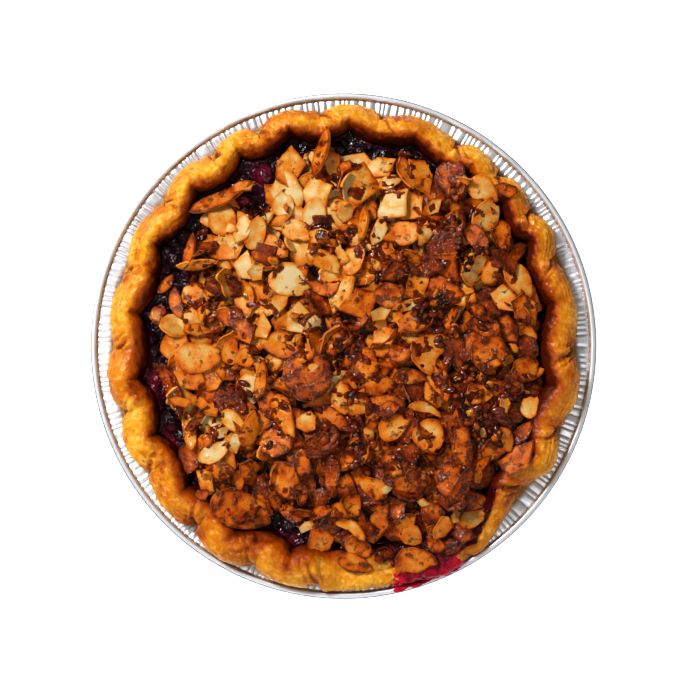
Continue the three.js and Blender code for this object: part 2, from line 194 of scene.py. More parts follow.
def add_node(tree: NodeTree, kind: str, *values: object, stops: Stops = (), **named: object) -> Node:
    """Adds a node with its settings, values and links.

    Args:
        tree: The shader or geometry tree.
        kind: The node's type name, where a "ShaderNode" in front is left out, and after a dot
            the operation of a node that has one.
        *values: What the inputs that it shows take, from the first: a value, a hex colour, a
            socket, or a node, which stands for the first output that it shows.
        stops: For a colour ramp, its (position, hex colour) stops.
        **named: The node's own properties, which are in small letters, and what other inputs
            take, by name with underscores for spaces.

    Returns:
        The new node.
    """
    kind, _, operation = kind.partition(".")
    node = tree.nodes.new(kind if "Node" in kind else "ShaderNode" + kind)
    if operation:
        node.operation = operation
    for name in filter(str.islower, named):
        setattr(node, name, named[name])
    inputs = {name.replace("_", " "): value for name, value in named.items() if not name.islower()}
    pairs = [(node.inputs[name], value) for name, value in inputs.items()]
    pairs += zip([socket for socket in node.inputs if socket.enabled], values)
    for _ in range(2, len(stops)):
        node.color_ramp.elements.new(1.0)
    for index, (position, colour) in enumerate(stops):
        element = node.color_ramp.elements[index]
        element.position, element.color = position, linear(colour)
    for socket, value in pairs:
        if isinstance(value, Node):
            value = next(output for output in value.outputs if output.enabled)
        if isinstance(value, NodeSocket):
            tree.links.new(value, socket)
        else:
            hex_colour = isinstance(value, str) and value.startswith("#")
            socket.default_value = linear(value) if hex_colour else value
    return node


def set_attribute(mesh: Mesh, name: str, values: Array) -> None:
    """Stores one value, whole number or vector for each vertex of a mesh under a name."""
    values = np.asarray(values)
    kind, key = {
        (1, "f"): ("FLOAT", "value"),
        (1, "i"): ("INT", "value"),
        (2, "f"): ("FLOAT_VECTOR", "vector"),
    }[(values.ndim, values.dtype.kind)]
    mesh.attributes.new(name, kind, "POINT").data.foreach_set(key, values.ravel())


def new_piece(name: str, points: Array, faces: list, traits: dict[str, Array] | None = None) -> Object:
    """Makes a mesh object.

    Args:
        name: The piece's name.
        points: Vertices in millimetres, in rows of three.
        faces: Corner numbers of each face, anticlockwise seen from outside.
        traits: Values to store for each vertex, by name.

    Returns:
        The object, linked to the scene.
    """
    mesh = bpy.data.meshes.new(name)
    mesh.from_pydata((np.asarray(points) * MM).tolist(), [], faces)
    for trait, values in (traits or {}).items():
        set_attribute(mesh, trait, values)
    if faces:
        mesh.shade_smooth()
    piece = bpy.data.objects.new(name, mesh)
    bpy.context.scene.collection.objects.link(piece)
    return piece


def turned_piece(name: str, rings: Array, traits: dict[str, Array] | None = None) -> Object:
    """Makes a closed piece from profiles set round the axis.

    Args:
        name: The piece's name.
        rings: Positions in millimetres, by angle and then along the profile, which runs
            anticlockwise seen with Z up. Its first and last points lie on the axis.
        traits: Values by angle and along the profile, by name.

    Returns:
        The object.
    """
    count, rows, _ = rings.shape
    inner = rows - 2
    first = (np.arange(count) * inner)[:, None]
    second = np.roll(first, -1, axis=0)
    row = np.arange(inner - 1)[None, :]
    quads = np.stack([first + row, second + row, second + row + 1, first + row + 1], -1)
    faces = quads.reshape(-1, 4).tolist()
    foot, top = count * inner, count * inner + 1
    for a, b in zip(first[:, 0].tolist(), second[:, 0].tolist()):
        faces.append((foot, b, a))
        faces.append((top, a + inner - 1, b + inner - 1))

    def flat(grid: Array) -> Array:
        """Lays a grid out in the order of the vertices."""
        body = grid[:, 1:-1].reshape(count * inner, *grid.shape[2:])
        return np.concatenate([body, grid[:1, 0], grid[:1, -1]])

    return new_piece(name, flat(rings), faces, {k: flat(v) for k, v in (traits or {}).items()})


def film_piece(name: str, top: Array, under: Array, shown: Array, traits: dict[str, Array]) -> Object:
    """Makes a closed film from the cells of a grid where it shows.

    Args:
        name: The piece's name.
        top: Its upper surface in millimetres, by row and column, which turn from column
            towards row anticlockwise seen from above.
        under: Height of its lower surface.
        shown: Where there is film.
        traits: Values by row and column, by name.

    Returns:
        The object.
    """
    rows, columns = shown.shape
    below = top.copy()
    below[..., 2] = under
    cells = shown[:-1, :-1] & shown[1:, :-1] & shown[:-1, 1:] & shown[1:, 1:]
    number = np.arange(rows * columns).reshape(rows, columns)
    windows = ((0, 0), (0, 1), (1, 1), (1, 0))
    p, q, s, t = (number[i : rows - 1 + i, j : columns - 1 + j][cells] for i, j in windows)
    low = rows * columns
    quads = [np.stack([p, q, s, t], -1), low + np.stack([t, s, q, p], -1)]
    ring = np.pad(cells, 1)
    # A side is closed wherever the next cell across it is bare.
    for a, b, step in ((p, t, (0, -1)), (t, s, (1, 0)), (q, p, (-1, 0)), (s, q, (0, 1))):
        bare = ~np.roll(ring, (-step[0], -step[1]), (0, 1))[1:-1, 1:-1][cells]
        quads.append(np.stack([a, b, low + b, low + a], -1)[bare])
    faces = np.concatenate(quads)
    used, faces = np.unique(faces, return_inverse=True)
    points = np.concatenate([top.reshape(-1, 3), below.reshape(-1, 3)])[used]
    kept = {k: np.tile(v.ravel(), 2)[used] for k, v in traits.items()}
    return new_piece(name, points, faces.reshape(-1, 4).tolist(), kept)


def smooth_line(points: Array, samples: int) -> Array:
    """A smooth curve through a line of points (a Catmull-Rom spline).

    Args:
        points: Positions along axis 1, as (angle, point, coordinate).
        samples: How many positions to give back along axis 1.

    Returns:
        The positions, as (angle, sample, coordinate).
    """
    first = 2 * points[:, :1] - points[:, 1:2]
    last = 2 * points[:, -1:] - points[:, -2:-1]
    p = np.concatenate([first, points, last], axis=1)
    t = np.linspace(0, points.shape[1] - 1 - 1e-6, samples)
    i = np.floor(t).astype(int)
    u = (t - i)[None, :, None]
    a, b, c, d = (p[:, i + k] for k in range(4))
    return 0.5 * (2 * b + (c - a) * u + (2 * a - 5 * b + 4 * c - d) * u**2 + (3 * b - a - 3 * c + d) * u**3)


def surface_normals(rings: Array) -> Array:
    """Outward unit normals of a closed grid of profiles."""
    around = np.roll(rings, -1, axis=0) - np.roll(rings, 1, axis=0)
    along = np.gradient(rings, axis=1)
    normal = np.cross(around, along)
    length = np.linalg.norm(normal, axis=-1, keepdims=True)
    return normal / np.maximum(length, 1e-9)


def grow(piece: Object, name: str, make: Callable[[NodeTree, NodeOutputs], Node], values: Inputs) -> None:
    """Runs a Geometry Nodes tree on a piece and keeps the result as its plain mesh.

    Args:
        piece: The object that the tree starts from.
        name: The tree's name.
        make: Adds the tree's own nodes, given the tree and its inputs, and gives back the last.
        values: The tree's named inputs, with a Material among them.
    """
    tree = bpy.data.node_groups.new(name, "GeometryNodeTree")
    for side in ("INPUT", "OUTPUT"):
        tree.interface.new_socket("Geometry", in_out=side, socket_type="NodeSocketGeometry")
    modifier = piece.modifiers.new(name, "NODES")
    keys = {}
    for label, value in values.items():
        kind = "NodeSocket" + SOCKET_KINDS[type(value)]
        keys[label] = tree.interface.new_socket(label, in_out="INPUT", socket_type=kind).identifier
    source = add_node(tree, "NodeGroupInput").outputs
    real = add_node(tree, "GeometryNodeRealizeInstances", make(tree, source))
    dressed = add_node(tree, "GeometryNodeSetMaterial", real, Material=source["Material"])
    add_node(tree, "NodeGroupOutput", Geometry=dressed)
    modifier.node_group = tree
    for label, key in keys.items():
        modifier[key] = values[label]
    graph = bpy.context.evaluated_depsgraph_get()
    mesh = bpy.data.meshes.new_from_object(
        piece.evaluated_get(graph), preserve_all_data_layers=True, depsgraph=graph
    )
    piece.modifiers.clear()
    piece.data = mesh
    bpy.data.node_groups.remove(tree)


def shelve(shapes: list[Object], name: str) -> Collection:
    """Puts shapes that a tree picks from into a collection of their own, out of the scene."""
    shelf = bpy.data.collections.new(name)
    for shape in shapes:
        bpy.context.scene.collection.objects.unlink(shape)
        shelf.objects.link(shape)
    return shelf


def clear_shelf(shelf: Collection) -> None:
    """Removes a collection and the shapes in it."""
    for shape in list(shelf.objects):
        bpy.data.objects.remove(shape)
    bpy.data.collections.remove(shelf)


def settle(piece: Object, slot: str, *nodes: str, finish: "Finish | None" = None) -> Object:
    """Ties a finished piece to the frame and reports it.

    Args:
        piece: The piece.
        slot: The record's material slot, which is not used.
        *nodes: The CAD nodes that it stands for.
        finish: Its finish, where it has none yet.

    Returns:
        The piece.
    """
    if finish:
        piece.data.materials.append(finish.material())
    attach(piece, BODY)
    if nodes:
        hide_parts(*nodes)
    faces = sum(len(p.vertices) - 2 for p in piece.data.polygons)
    LOG.info("%s: %d triangles", piece.name, faces)
    return piece


# ------------------------------------------------------------------ finishes


@dataclass(frozen=True)
class Finish:
    """A surface finish, which makes its own material from the traits of a mesh that it names."""

    name: str
    traits: ClassVar[Names] = ()

    def surface(self, tree: NodeTree, where: NodeSocket, *traits: NodeSocket) -> Inputs:
        """Adds the finish's own nodes.

        Args:
            tree: The material's tree.
            where: Positions on the object.
            *traits: The traits, in the order in which the finish names them.

        Returns:
            What the shader's inputs take, by name.
        """
        raise NotImplementedError

    def material(self) -> Material:
        """Makes the material.

        Returns:
            The material.
        """
        material = bpy.data.materials.new(self.name)
        material.use_nodes = True
        tree = material.node_tree
        tree.nodes.clear()
        where = add_node(tree, "TexCoord").outputs["Object"]
        traits = [add_node(tree, "Attribute", attribute_name=name).outputs["Fac"] for name in self.traits]
        shader = add_node(tree, "BsdfPrincipled", **self.surface(tree, where, *traits))
        add_node(tree, "OutputMaterial", Surface=shader)
        return material


@dataclass(frozen=True)
class RolledFoil(Finish):
    """Bright rolled aluminium foil: mirror-like, with faint rolling lines and scuffs."""

    metal: str = "#e8ebf3"
    painted_reflection: str = "#c4996a"
    shadow: str = "#55555a"
    roughness: float = 0.48
    scuff: float = 1.4
    traits: ClassVar[Names] = ("painted_reflection", "painted_shade")

    def surface(self, tree: NodeTree, where: NodeSocket, *traits: NodeSocket) -> Inputs:
        """Adds the scuffs, the painted reflection of the crust in the groove, and painted shade on the edge
        and the wall.

        Args:
            tree: The material's tree.
            where: Positions on the object.
            *traits: Where the crust's reflection is painted in the groove, and where shade is painted on the
                     edge and the wall.

        Returns:
            What the shader's inputs take.
        """
        painted_reflection, painted_shade = traits
        scuffs = add_node(tree, "TexNoise", where, per_mm(self.scuff), 4.0)
        # The crust's reflection is painted in the groove as a tan line, broken into short dashes.
        dashes = add_node(tree, "MapRange", scuffs, 0.36, 0.48, 0.35, 1.0)
        painted_reflection = add_node(tree, "Math.MULTIPLY", painted_reflection, dashes)
        colour = add_node(tree, "Mix", painted_reflection, self.metal, self.painted_reflection, data_type="RGBA")
        return {
            # Painted shade: the rim's edge and the wall are mixed towards the shadow colour.
            "Base Color": add_node(tree, "Mix", painted_shade, colour, self.shadow, data_type="RGBA"),
            # Rolled foil scatters a little of the light that falls on it.
            "Metallic": 0.88,
            "Roughness": add_node(
                tree, "MapRange", scuffs, 0.0, 1.0, self.roughness - 0.08, self.roughness + 0.12
            ),
            "Normal": add_node(tree, "Bump", 0.25, 0.08 * MM, Height=scuffs),
        }


@dataclass(frozen=True)
class BakedShortcrust(Finish):
    """Baked shortcrust under egg wash: golden, browner where it faced the heat, with painted shade on its
    inner flank and in its folds and painted highlights on its crown; thinly glossy.
    """

    pale: str = "#f6c54a"
    golden: str = "#e29b12"
    deep: str = "#b85c04"
    brown: str = "#5e1f06"
    painted_glint: str = "#ffdc86"
    stain: str = "#4e0f22"
    layer: float = 0.75
    blister: float = 1.7
    traits: ClassVar[Names] = ("bake_and_shade", "pale", "stain", "across")

    def surface(self, tree: NodeTree, where: NodeSocket, *traits: NodeSocket) -> Inputs:
        """Adds the browning with its painted shade, the layers, the blisters with their painted highlights,
        and the stain.

        Args:
            tree: The material's tree.
            where: Positions on the object.
            *traits: How brown it baked together with its painted shade, how much of the raw dough's
            colour it kept, where jam soaked in, and millimetres along the section.

        Returns:
            What the shader's inputs take.
        """
        bake_and_shade, pale, stain, across = traits
        mottle = add_node(tree, "TexNoise", where, per_mm(4.5), 5.0, 0.6)
        shade = add_node(tree, "Math.MULTIPLY_ADD", mottle, 0.5, bake_and_shade)
        shade = add_node(tree, "Math.SUBTRACT", shade, 0.25)
        # The browning ramp also paints the shade on the inner flank and in the folds.
        stops = ((0.0, self.pale), (0.3, self.golden), (0.62, self.deep), (0.96, self.brown))
        colour = add_node(tree, "ValToRGB", shade, stops=stops)
        # The layers of the dough show as fine lines that follow the edge.
        drift = add_node(tree, "TexNoise", where, per_mm(7.0), 3.0)
        line = add_node(tree, "Math.MULTIPLY_ADD", drift, 5.0, across)
        line = add_node(tree, "Math.MULTIPLY", line, 2 * math.pi / self.layer)
        line = add_node(tree, "Math.SINE", line)
        line = add_node(tree, "Math.MULTIPLY", line, pale)
        lit = add_node(tree, "Math.MULTIPLY", line, 0.28)
        lit = add_node(tree, "Math.MULTIPLY_ADD", pale, 0.6, lit, use_clamp=True)
        blisters = add_node(tree, "TexNoise", where, per_mm(self.blister), 4.0, 0.62)
        # Painted highlights: small blisters on the golden crown are painted creamy, like glints.
        crown = add_node(tree, "MapRange", shade, 0.2, 0.62, 0.62, 0.0)
        painted_glints = add_node(tree, "MapRange", blisters, 0.48, 0.68)
        painted_glints = add_node(tree, "Math.MULTIPLY", painted_glints, crown)
        for share, over in ((lit, self.pale), (painted_glints, self.painted_glint), (stain, self.stain)):
            colour = add_node(tree, "Mix", share, colour, over, data_type="RGBA")
        bump = add_node(tree, "Bump", 1.0, 0.42 * MM, Height=blisters)
        bump = add_node(tree, "Bump", 0.5, 0.08 * MM, Height=line, Normal=bump)
        return {
            "Base Color": colour,
            "Roughness": 0.5,
            "Specular IOR Level": 0.04,
            # The dark flank over the jam kept less of the egg wash.
            "Coat Weight": add_node(tree, "MapRange", bake_and_shade, 0.6, 1.1, 0.7, 0.06),
            "Coat Roughness": add_node(tree, "MapRange", blisters, 0.35, 0.65, 0.26, 0.12),
            "Coat Normal": bump,
            "Normal": bump,
        }


@dataclass(frozen=True)
class CaramelAlmond(Finish):
    """Sliced almond baked in caramel: creamy to dark amber, edges lit, with sticky specks."""

    stops: tuple[tuple[float, str], ...] = (
        (0.0, "#d8c49a"),
        (0.2, "#d5a962"),
        (0.4, "#d58828"),
        (0.6, "#c4660e"),
        (0.8, "#863708"),
        (1.0, "#300e03"),
    )
    caramel: str = "#b9520a"
    dark_caramel: str = "#451304"
    speck: str = "#7c2407"
    edge: str = "#f0b45a"
    patch: float = 4.2
    speck_size: float = 1.7
    traits: ClassVar[Names] = ("tone", "rim")

    def surface(self, tree: NodeTree, where: NodeSocket, *traits: NodeSocket) -> Inputs:
        """Adds the browning, the pools of caramel, the specks and the lit edge.

        Args:
            tree: The material's tree.
            where: Positions on the object.
            *traits: How dark each slice baked, and how near its edge.

        Returns:
            What the shader's inputs take.
        """
        tone, rim = traits
        patches = add_node(tree, "TexNoise", where, per_mm(self.patch), 2.0, 0.5)
        # A slice browns from its edge inwards.
        toasted = add_node(tree, "MapRange", rim, 0.1, 0.9, -0.06, 0.2)
        toasted = add_node(tree, "Math.ADD", toasted, tone)
        shade = add_node(tree, "Math.ADD", patches, toasted)
        shade = add_node(tree, "Math.SUBTRACT", shade, 0.43, use_clamp=True)
        body = add_node(tree, "ValToRGB", shade, stops=self.stops)
        # Caramel pooled on the slice: more of it on the darker ones.
        pools = add_node(tree, "TexNoise", where, per_mm(2.8), 3.0, 0.55)
        sticky = add_node(tree, "Math.MULTIPLY_ADD", tone, 0.36, pools)
        sticky = add_node(tree, "MapRange", sticky, 0.7, 0.82)
        amount = add_node(tree, "Math.MULTIPLY", sticky, 0.78)
        caramel = add_node(tree, "ValToRGB", pools, stops=((0.42, self.caramel), (0.62, self.dark_caramel)))
        specks = add_node(tree, "TexVoronoi", Vector=where, Scale=per_mm(self.speck_size), Randomness=1.0)
        sparse = add_node(tree, "Math.MULTIPLY_ADD", patches, -0.5, specks)
        dots = add_node(tree, "MapRange", sparse, -0.02, -0.12)
        strength = add_node(tree, "MapRange", tone, 0.1, 0.6, 0.08, 0.7)
        dots = add_node(tree, "Math.MULTIPLY", dots, strength)
        # Painted light: the cut edge of a slice is painted lighter, as where it catches the light.
        lit = add_node(tree, "MapRange", rim, 0.96, 1.0, 0.0, 0.6)
        fade = add_node(tree, "MapRange", tone, 0.3, 0.75, 1.0, 0.05)
        lit = add_node(tree, "Math.MULTIPLY", lit, fade)
        colour = body
        for share, over in ((amount, caramel), (dots, self.speck), (lit, self.edge)):
            colour = add_node(tree, "Mix", share, colour, over, data_type="RGBA")
        bump = add_node(tree, "Bump", 1.0, 0.18 * MM, Height=sticky)
        bump = add_node(tree, "Bump", 0.5, 0.07 * MM, Height=dots, Normal=bump)
        # The glaze is thin and pitted, so it sparkles in points.
        pits = add_node(tree, "TexNoise", where, per_mm(1.1), 1.0)
        return {
            "Base Color": colour,
            "Roughness": 0.5,
            "Specular IOR Level": 0.05,
            "Coat Weight": add_node(tree, "MapRange", sticky, 0.0, 1.0, 0.45, 1.0),
            "Coat Roughness": 0.05,
            "Coat Normal": add_node(tree, "Bump", 1.0, 0.65 * MM, Height=pits, Normal=bump),
            "Normal": bump,
        }


@dataclass(frozen=True)
class Syrupy(Finish):
    """A smooth wet or hard thing, whose colour drifts in patches and with the traits of its mesh.

    A noise is its width in millimetres, then as many of its detail, roughness, lacunarity and
    distortion as aren't the usual ones.
    """

    stops: Stops = ()
    patches: Noise = (2.2, 4.0)
    drift: float = 1.0
    offset: float = 0.0
    ripples: Noise = ()
    depth: float = 0.3
    strength: float = 1.0
    roughness: float = 0.2
    ior: float = 1.42
    coat: float = 0.0

    def surface(self, tree: NodeTree, where: NodeSocket, *traits: NodeSocket) -> Inputs:
        """Adds the patches, the traits and the ripples.

        Args:
            tree: The material's tree.
            where: Positions on the object.
            *traits: What is added to the patches.

        Returns:
            What the shader's inputs take.
        """
        noises = [
            add_node(tree, "TexNoise", where, per_mm(width), *rest)
            for width, *rest in (self.patches, self.ripples or self.patches)
        ]
        shade = add_node(tree, "Math.MULTIPLY_ADD", noises[0], self.drift, self.offset)
        for trait in traits:
            shade = add_node(tree, "Math.ADD", shade, trait)
        return {
            "Base Color": add_node(tree, "ValToRGB", shade, stops=self.stops),
            "Roughness": self.roughness,
            "IOR": self.ior,
            "Coat Weight": self.coat,
            "Coat Roughness": 0.05,
            "Normal": add_node(tree, "Bump", self.strength, self.depth * MM, Height=noises[1]),
        }


@dataclass(frozen=True)
class BerryJam(Syrupy):
    """Set blueberry juice: near black where it is deep, crimson where it is thin, and wet."""

    stops: Stops = ((0.0, "#10050a"), (0.45, "#36081a"), (1.0, "#720d28"))
    patches: Noise = (2.2, 5.0, 0.65)
    drift: float = 0.9
    offset: float = -0.42
    # Skins and seeds under the surface ripple it, so it glints in many small points.
    ripples: Noise = (1.3,)
    depth: float = 0.6
    roughness: float = 0.1
    traits: ClassVar[Names] = ("thin",)


@dataclass(frozen=True)
class CookedBerry(Syrupy):
    """The skin of a cooked blueberry in syrup: dark, slightly wrinkled, with a wet gloss."""

    stops: Stops = ((0.38, "#120a10"), (0.66, "#34101f"))
    patches: Noise = (2.6, 4.0)
    ripples: Noise = (1.5, 3.0, 0.5, 2.0, 0.8)
    depth: float = 0.5
    coat: float = 0.8


@dataclass(frozen=True)
class CaramelGlaze(Syrupy):
    """Caramel that ran over the slices: amber where it is thin, nearly black where it burnt, darkest in the
    hollows between slices as painted shade in part, and wet.
    """

    stops: Stops = ((0.0, "#a8520b"), (0.35, "#762e05"), (0.7, "#421203"), (1.0, "#1c0602"))
    drift: float = 0.9
    offset: float = -0.4
    ripples: Noise = (0.9,)
    roughness: float = 0.12
    ior: float = 1.45
    traits: ClassVar[Names] = ("depth",)


@dataclass(frozen=True)
class SetCaramel(Syrupy):
    """Caramel that set in grains and drips: dark red-brown, hard and shiny."""

    stops: Stops = ((0.0, "#a8551c"), (1.0, "#3d130a"))
    patches: Noise = (0.8, 4.0, 0.6)
    drift: float = 0.5
    offset: float = -0.25
    depth: float = 0.2
    strength: float = 0.8
    ior: float = 1.45
    traits: ClassVar[Names] = ("tone",)


@dataclass(frozen=True)
class SpiltJuice(Syrupy):
    """Thin berry juice on foil and pastry: magenta where it is thinnest, dark red where it pools."""

    stops: Stops = ((0.0, "#4c0a0e"), (1.0, "#d40a40"))
    patches: Noise = (2.4, 4.0)
    drift: float = 1.6
    offset: float = -0.95
    depth: float = 1.5
    roughness: float = 0.08
    ior: float = 1.4
    traits: ClassVar[Names] = ("thin",)


@dataclass(frozen=True)
class PlainSeed(Finish):
    """Linseed hull: smooth, hard, dark red-brown and glossy."""

    hull: str = "#45150a"
    light: str = "#7c3214"
    traits: ClassVar[Names] = ("tone",)

    def surface(self, tree: NodeTree, where: NodeSocket, *traits: NodeSocket) -> Inputs:
        """Adds the colour.

        Args:
            tree: The material's tree.
            where: Positions on the object, which a plain hull has no use for.
            *traits: How dark each seed is.

        Returns:
            What the shader's inputs take.
        """
        return {
            "Base Color": add_node(tree, "Mix", traits[0], self.light, self.hull, data_type="RGBA"),
            "Roughness": 0.28,
            "IOR": 1.47,
            "Coat Weight": 0.5,
            "Coat Roughness": 0.1,
        }


# ------------------------------------------------------------------ the photograph's frame


@dataclass(frozen=True)
class PhotoFrame:
    """How the photograph looks at the pie: straight down, through a long lens."""

    pixels: int = 700
    mm_per_pixel: float = 0.326
    middle: tuple[float, float] = (343.5, 346.0)
    rim_height: float = 27.5
    camera_height: float = 1100.0
    sensor: float = 36.0

    def centre(self) -> tuple[float, float]:
        """The point of the pie under the middle of the frame."""
        half = self.pixels / 2
        return (half - self.middle[0]) * self.mm_per_pixel, (self.middle[1] - half) * self.mm_per_pixel

    def place(self, pixel: tuple[float, float], height: float) -> tuple[float, float]:
        """Where a pixel lies on the pie.

        Args:
            pixel: Column and row of the photograph.
            height: How high above the table the thing in it is.

        Returns:
            X and Y in millimetres.
        """
        x, y = self.centre()
        reach = self.mm_per_pixel * (self.camera_height - height) / (self.camera_height - self.rim_height)
        half = self.pixels / 2
        return x + (pixel[0] - half) * reach, y - (pixel[1] - half) * reach

    def build(self) -> None:
        """Sets up the camera."""
        lens = bpy.data.cameras.new("camera")
        lens.sensor_width = self.sensor
        width = self.pixels * self.mm_per_pixel
        lens.lens = self.sensor * (self.camera_height - self.rim_height) / width
        lens.clip_start = 0.01
        camera = bpy.data.objects.new("camera", lens)
        x, y = self.centre()
        camera.location = (x * MM, y * MM, self.camera_height * MM)
        bpy.context.scene.collection.objects.link(camera)
        bpy.context.scene.camera = camera


@dataclass(frozen=True)
class Studio:
    """A white table in soft daylight, with the main light from the upper left."""

    table: str = "#ffffff"
    sky: tuple[tuple[float, str], ...] = (
        (0.0, "#3a3a3c"),
        (0.4, "#505054"),
        (0.66, "#dcd9cf"),
        (1.0, "#ece8dc"),
    )
    sky_strength: float = 0.47
    lights: tuple[tuple[str, float, float, tuple[float, float, float]], ...] = (
        ("window", 15.5, 0.28, (-0.62, 0.58, 0.9)),
        ("second window", 3.0, 0.12, (-0.1, -0.75, 0.95)),
        ("reflector", 1.4, 0.5, (0.8, -0.5, 0.7)),
    )
    table_glow: float = 0.7
    contrast: float = 0.74

    def build(self) -> None:
        """Makes the table, the sky and the main light."""
        corners = 4000 * np.array([[-1, -1, 0], [1, -1, 0], [1, 1, 0], [-1, 1, 0]])
        table = new_piece("table_top", corners, [(0, 1, 2, 3)])
        material = bpy.data.materials.new("white table")
        material.use_nodes = True
        shader = material.node_tree.nodes["Principled BSDF"]
        shader.inputs["Base Color"].default_value = linear(self.table)
        shader.inputs["Roughness"].default_value = 0.9
        shader.inputs["Emission Color"].default_value = linear(self.table)
        shader.inputs["Emission Strength"].default_value = self.table_glow
        table.data.materials.append(material)
        table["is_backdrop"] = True
        self.sky_light()
        for name, power, size, place in self.lights:
            light = bpy.data.lights.new(name, "AREA")
            light.size = size
            light.energy = power
            lamp = bpy.data.objects.new(name, light)
            lamp.location = place
            lamp.rotation_euler = (-Vector(place)).to_track_quat("-Z", "Y").to_euler()
            bpy.context.scene.collection.objects.link(lamp)
        view = bpy.context.scene.view_settings
        view.view_transform = "Standard"
        view.gamma = self.contrast

    def sky_light(self) -> None:
        """Makes the sky: bright overhead, as under a diffuser, and dim towards the horizon."""
        world = bpy.data.worlds.new("daylight")
        world.use_nodes = True
        tree = world.node_tree
        tree.nodes.clear()
        place = add_node(tree, "TexCoord").outputs["Generated"]
        height = add_node(tree, "SeparateXYZ", place).outputs["Z"]
        colour = add_node(tree, "ValToRGB", height, stops=self.sky)
        light = add_node(tree, "Background", colour, self.sky_strength)
        add_node(tree, "OutputWorld", light)
        bpy.context.scene.world = world


# ------------------------------------------------------------------ pieces


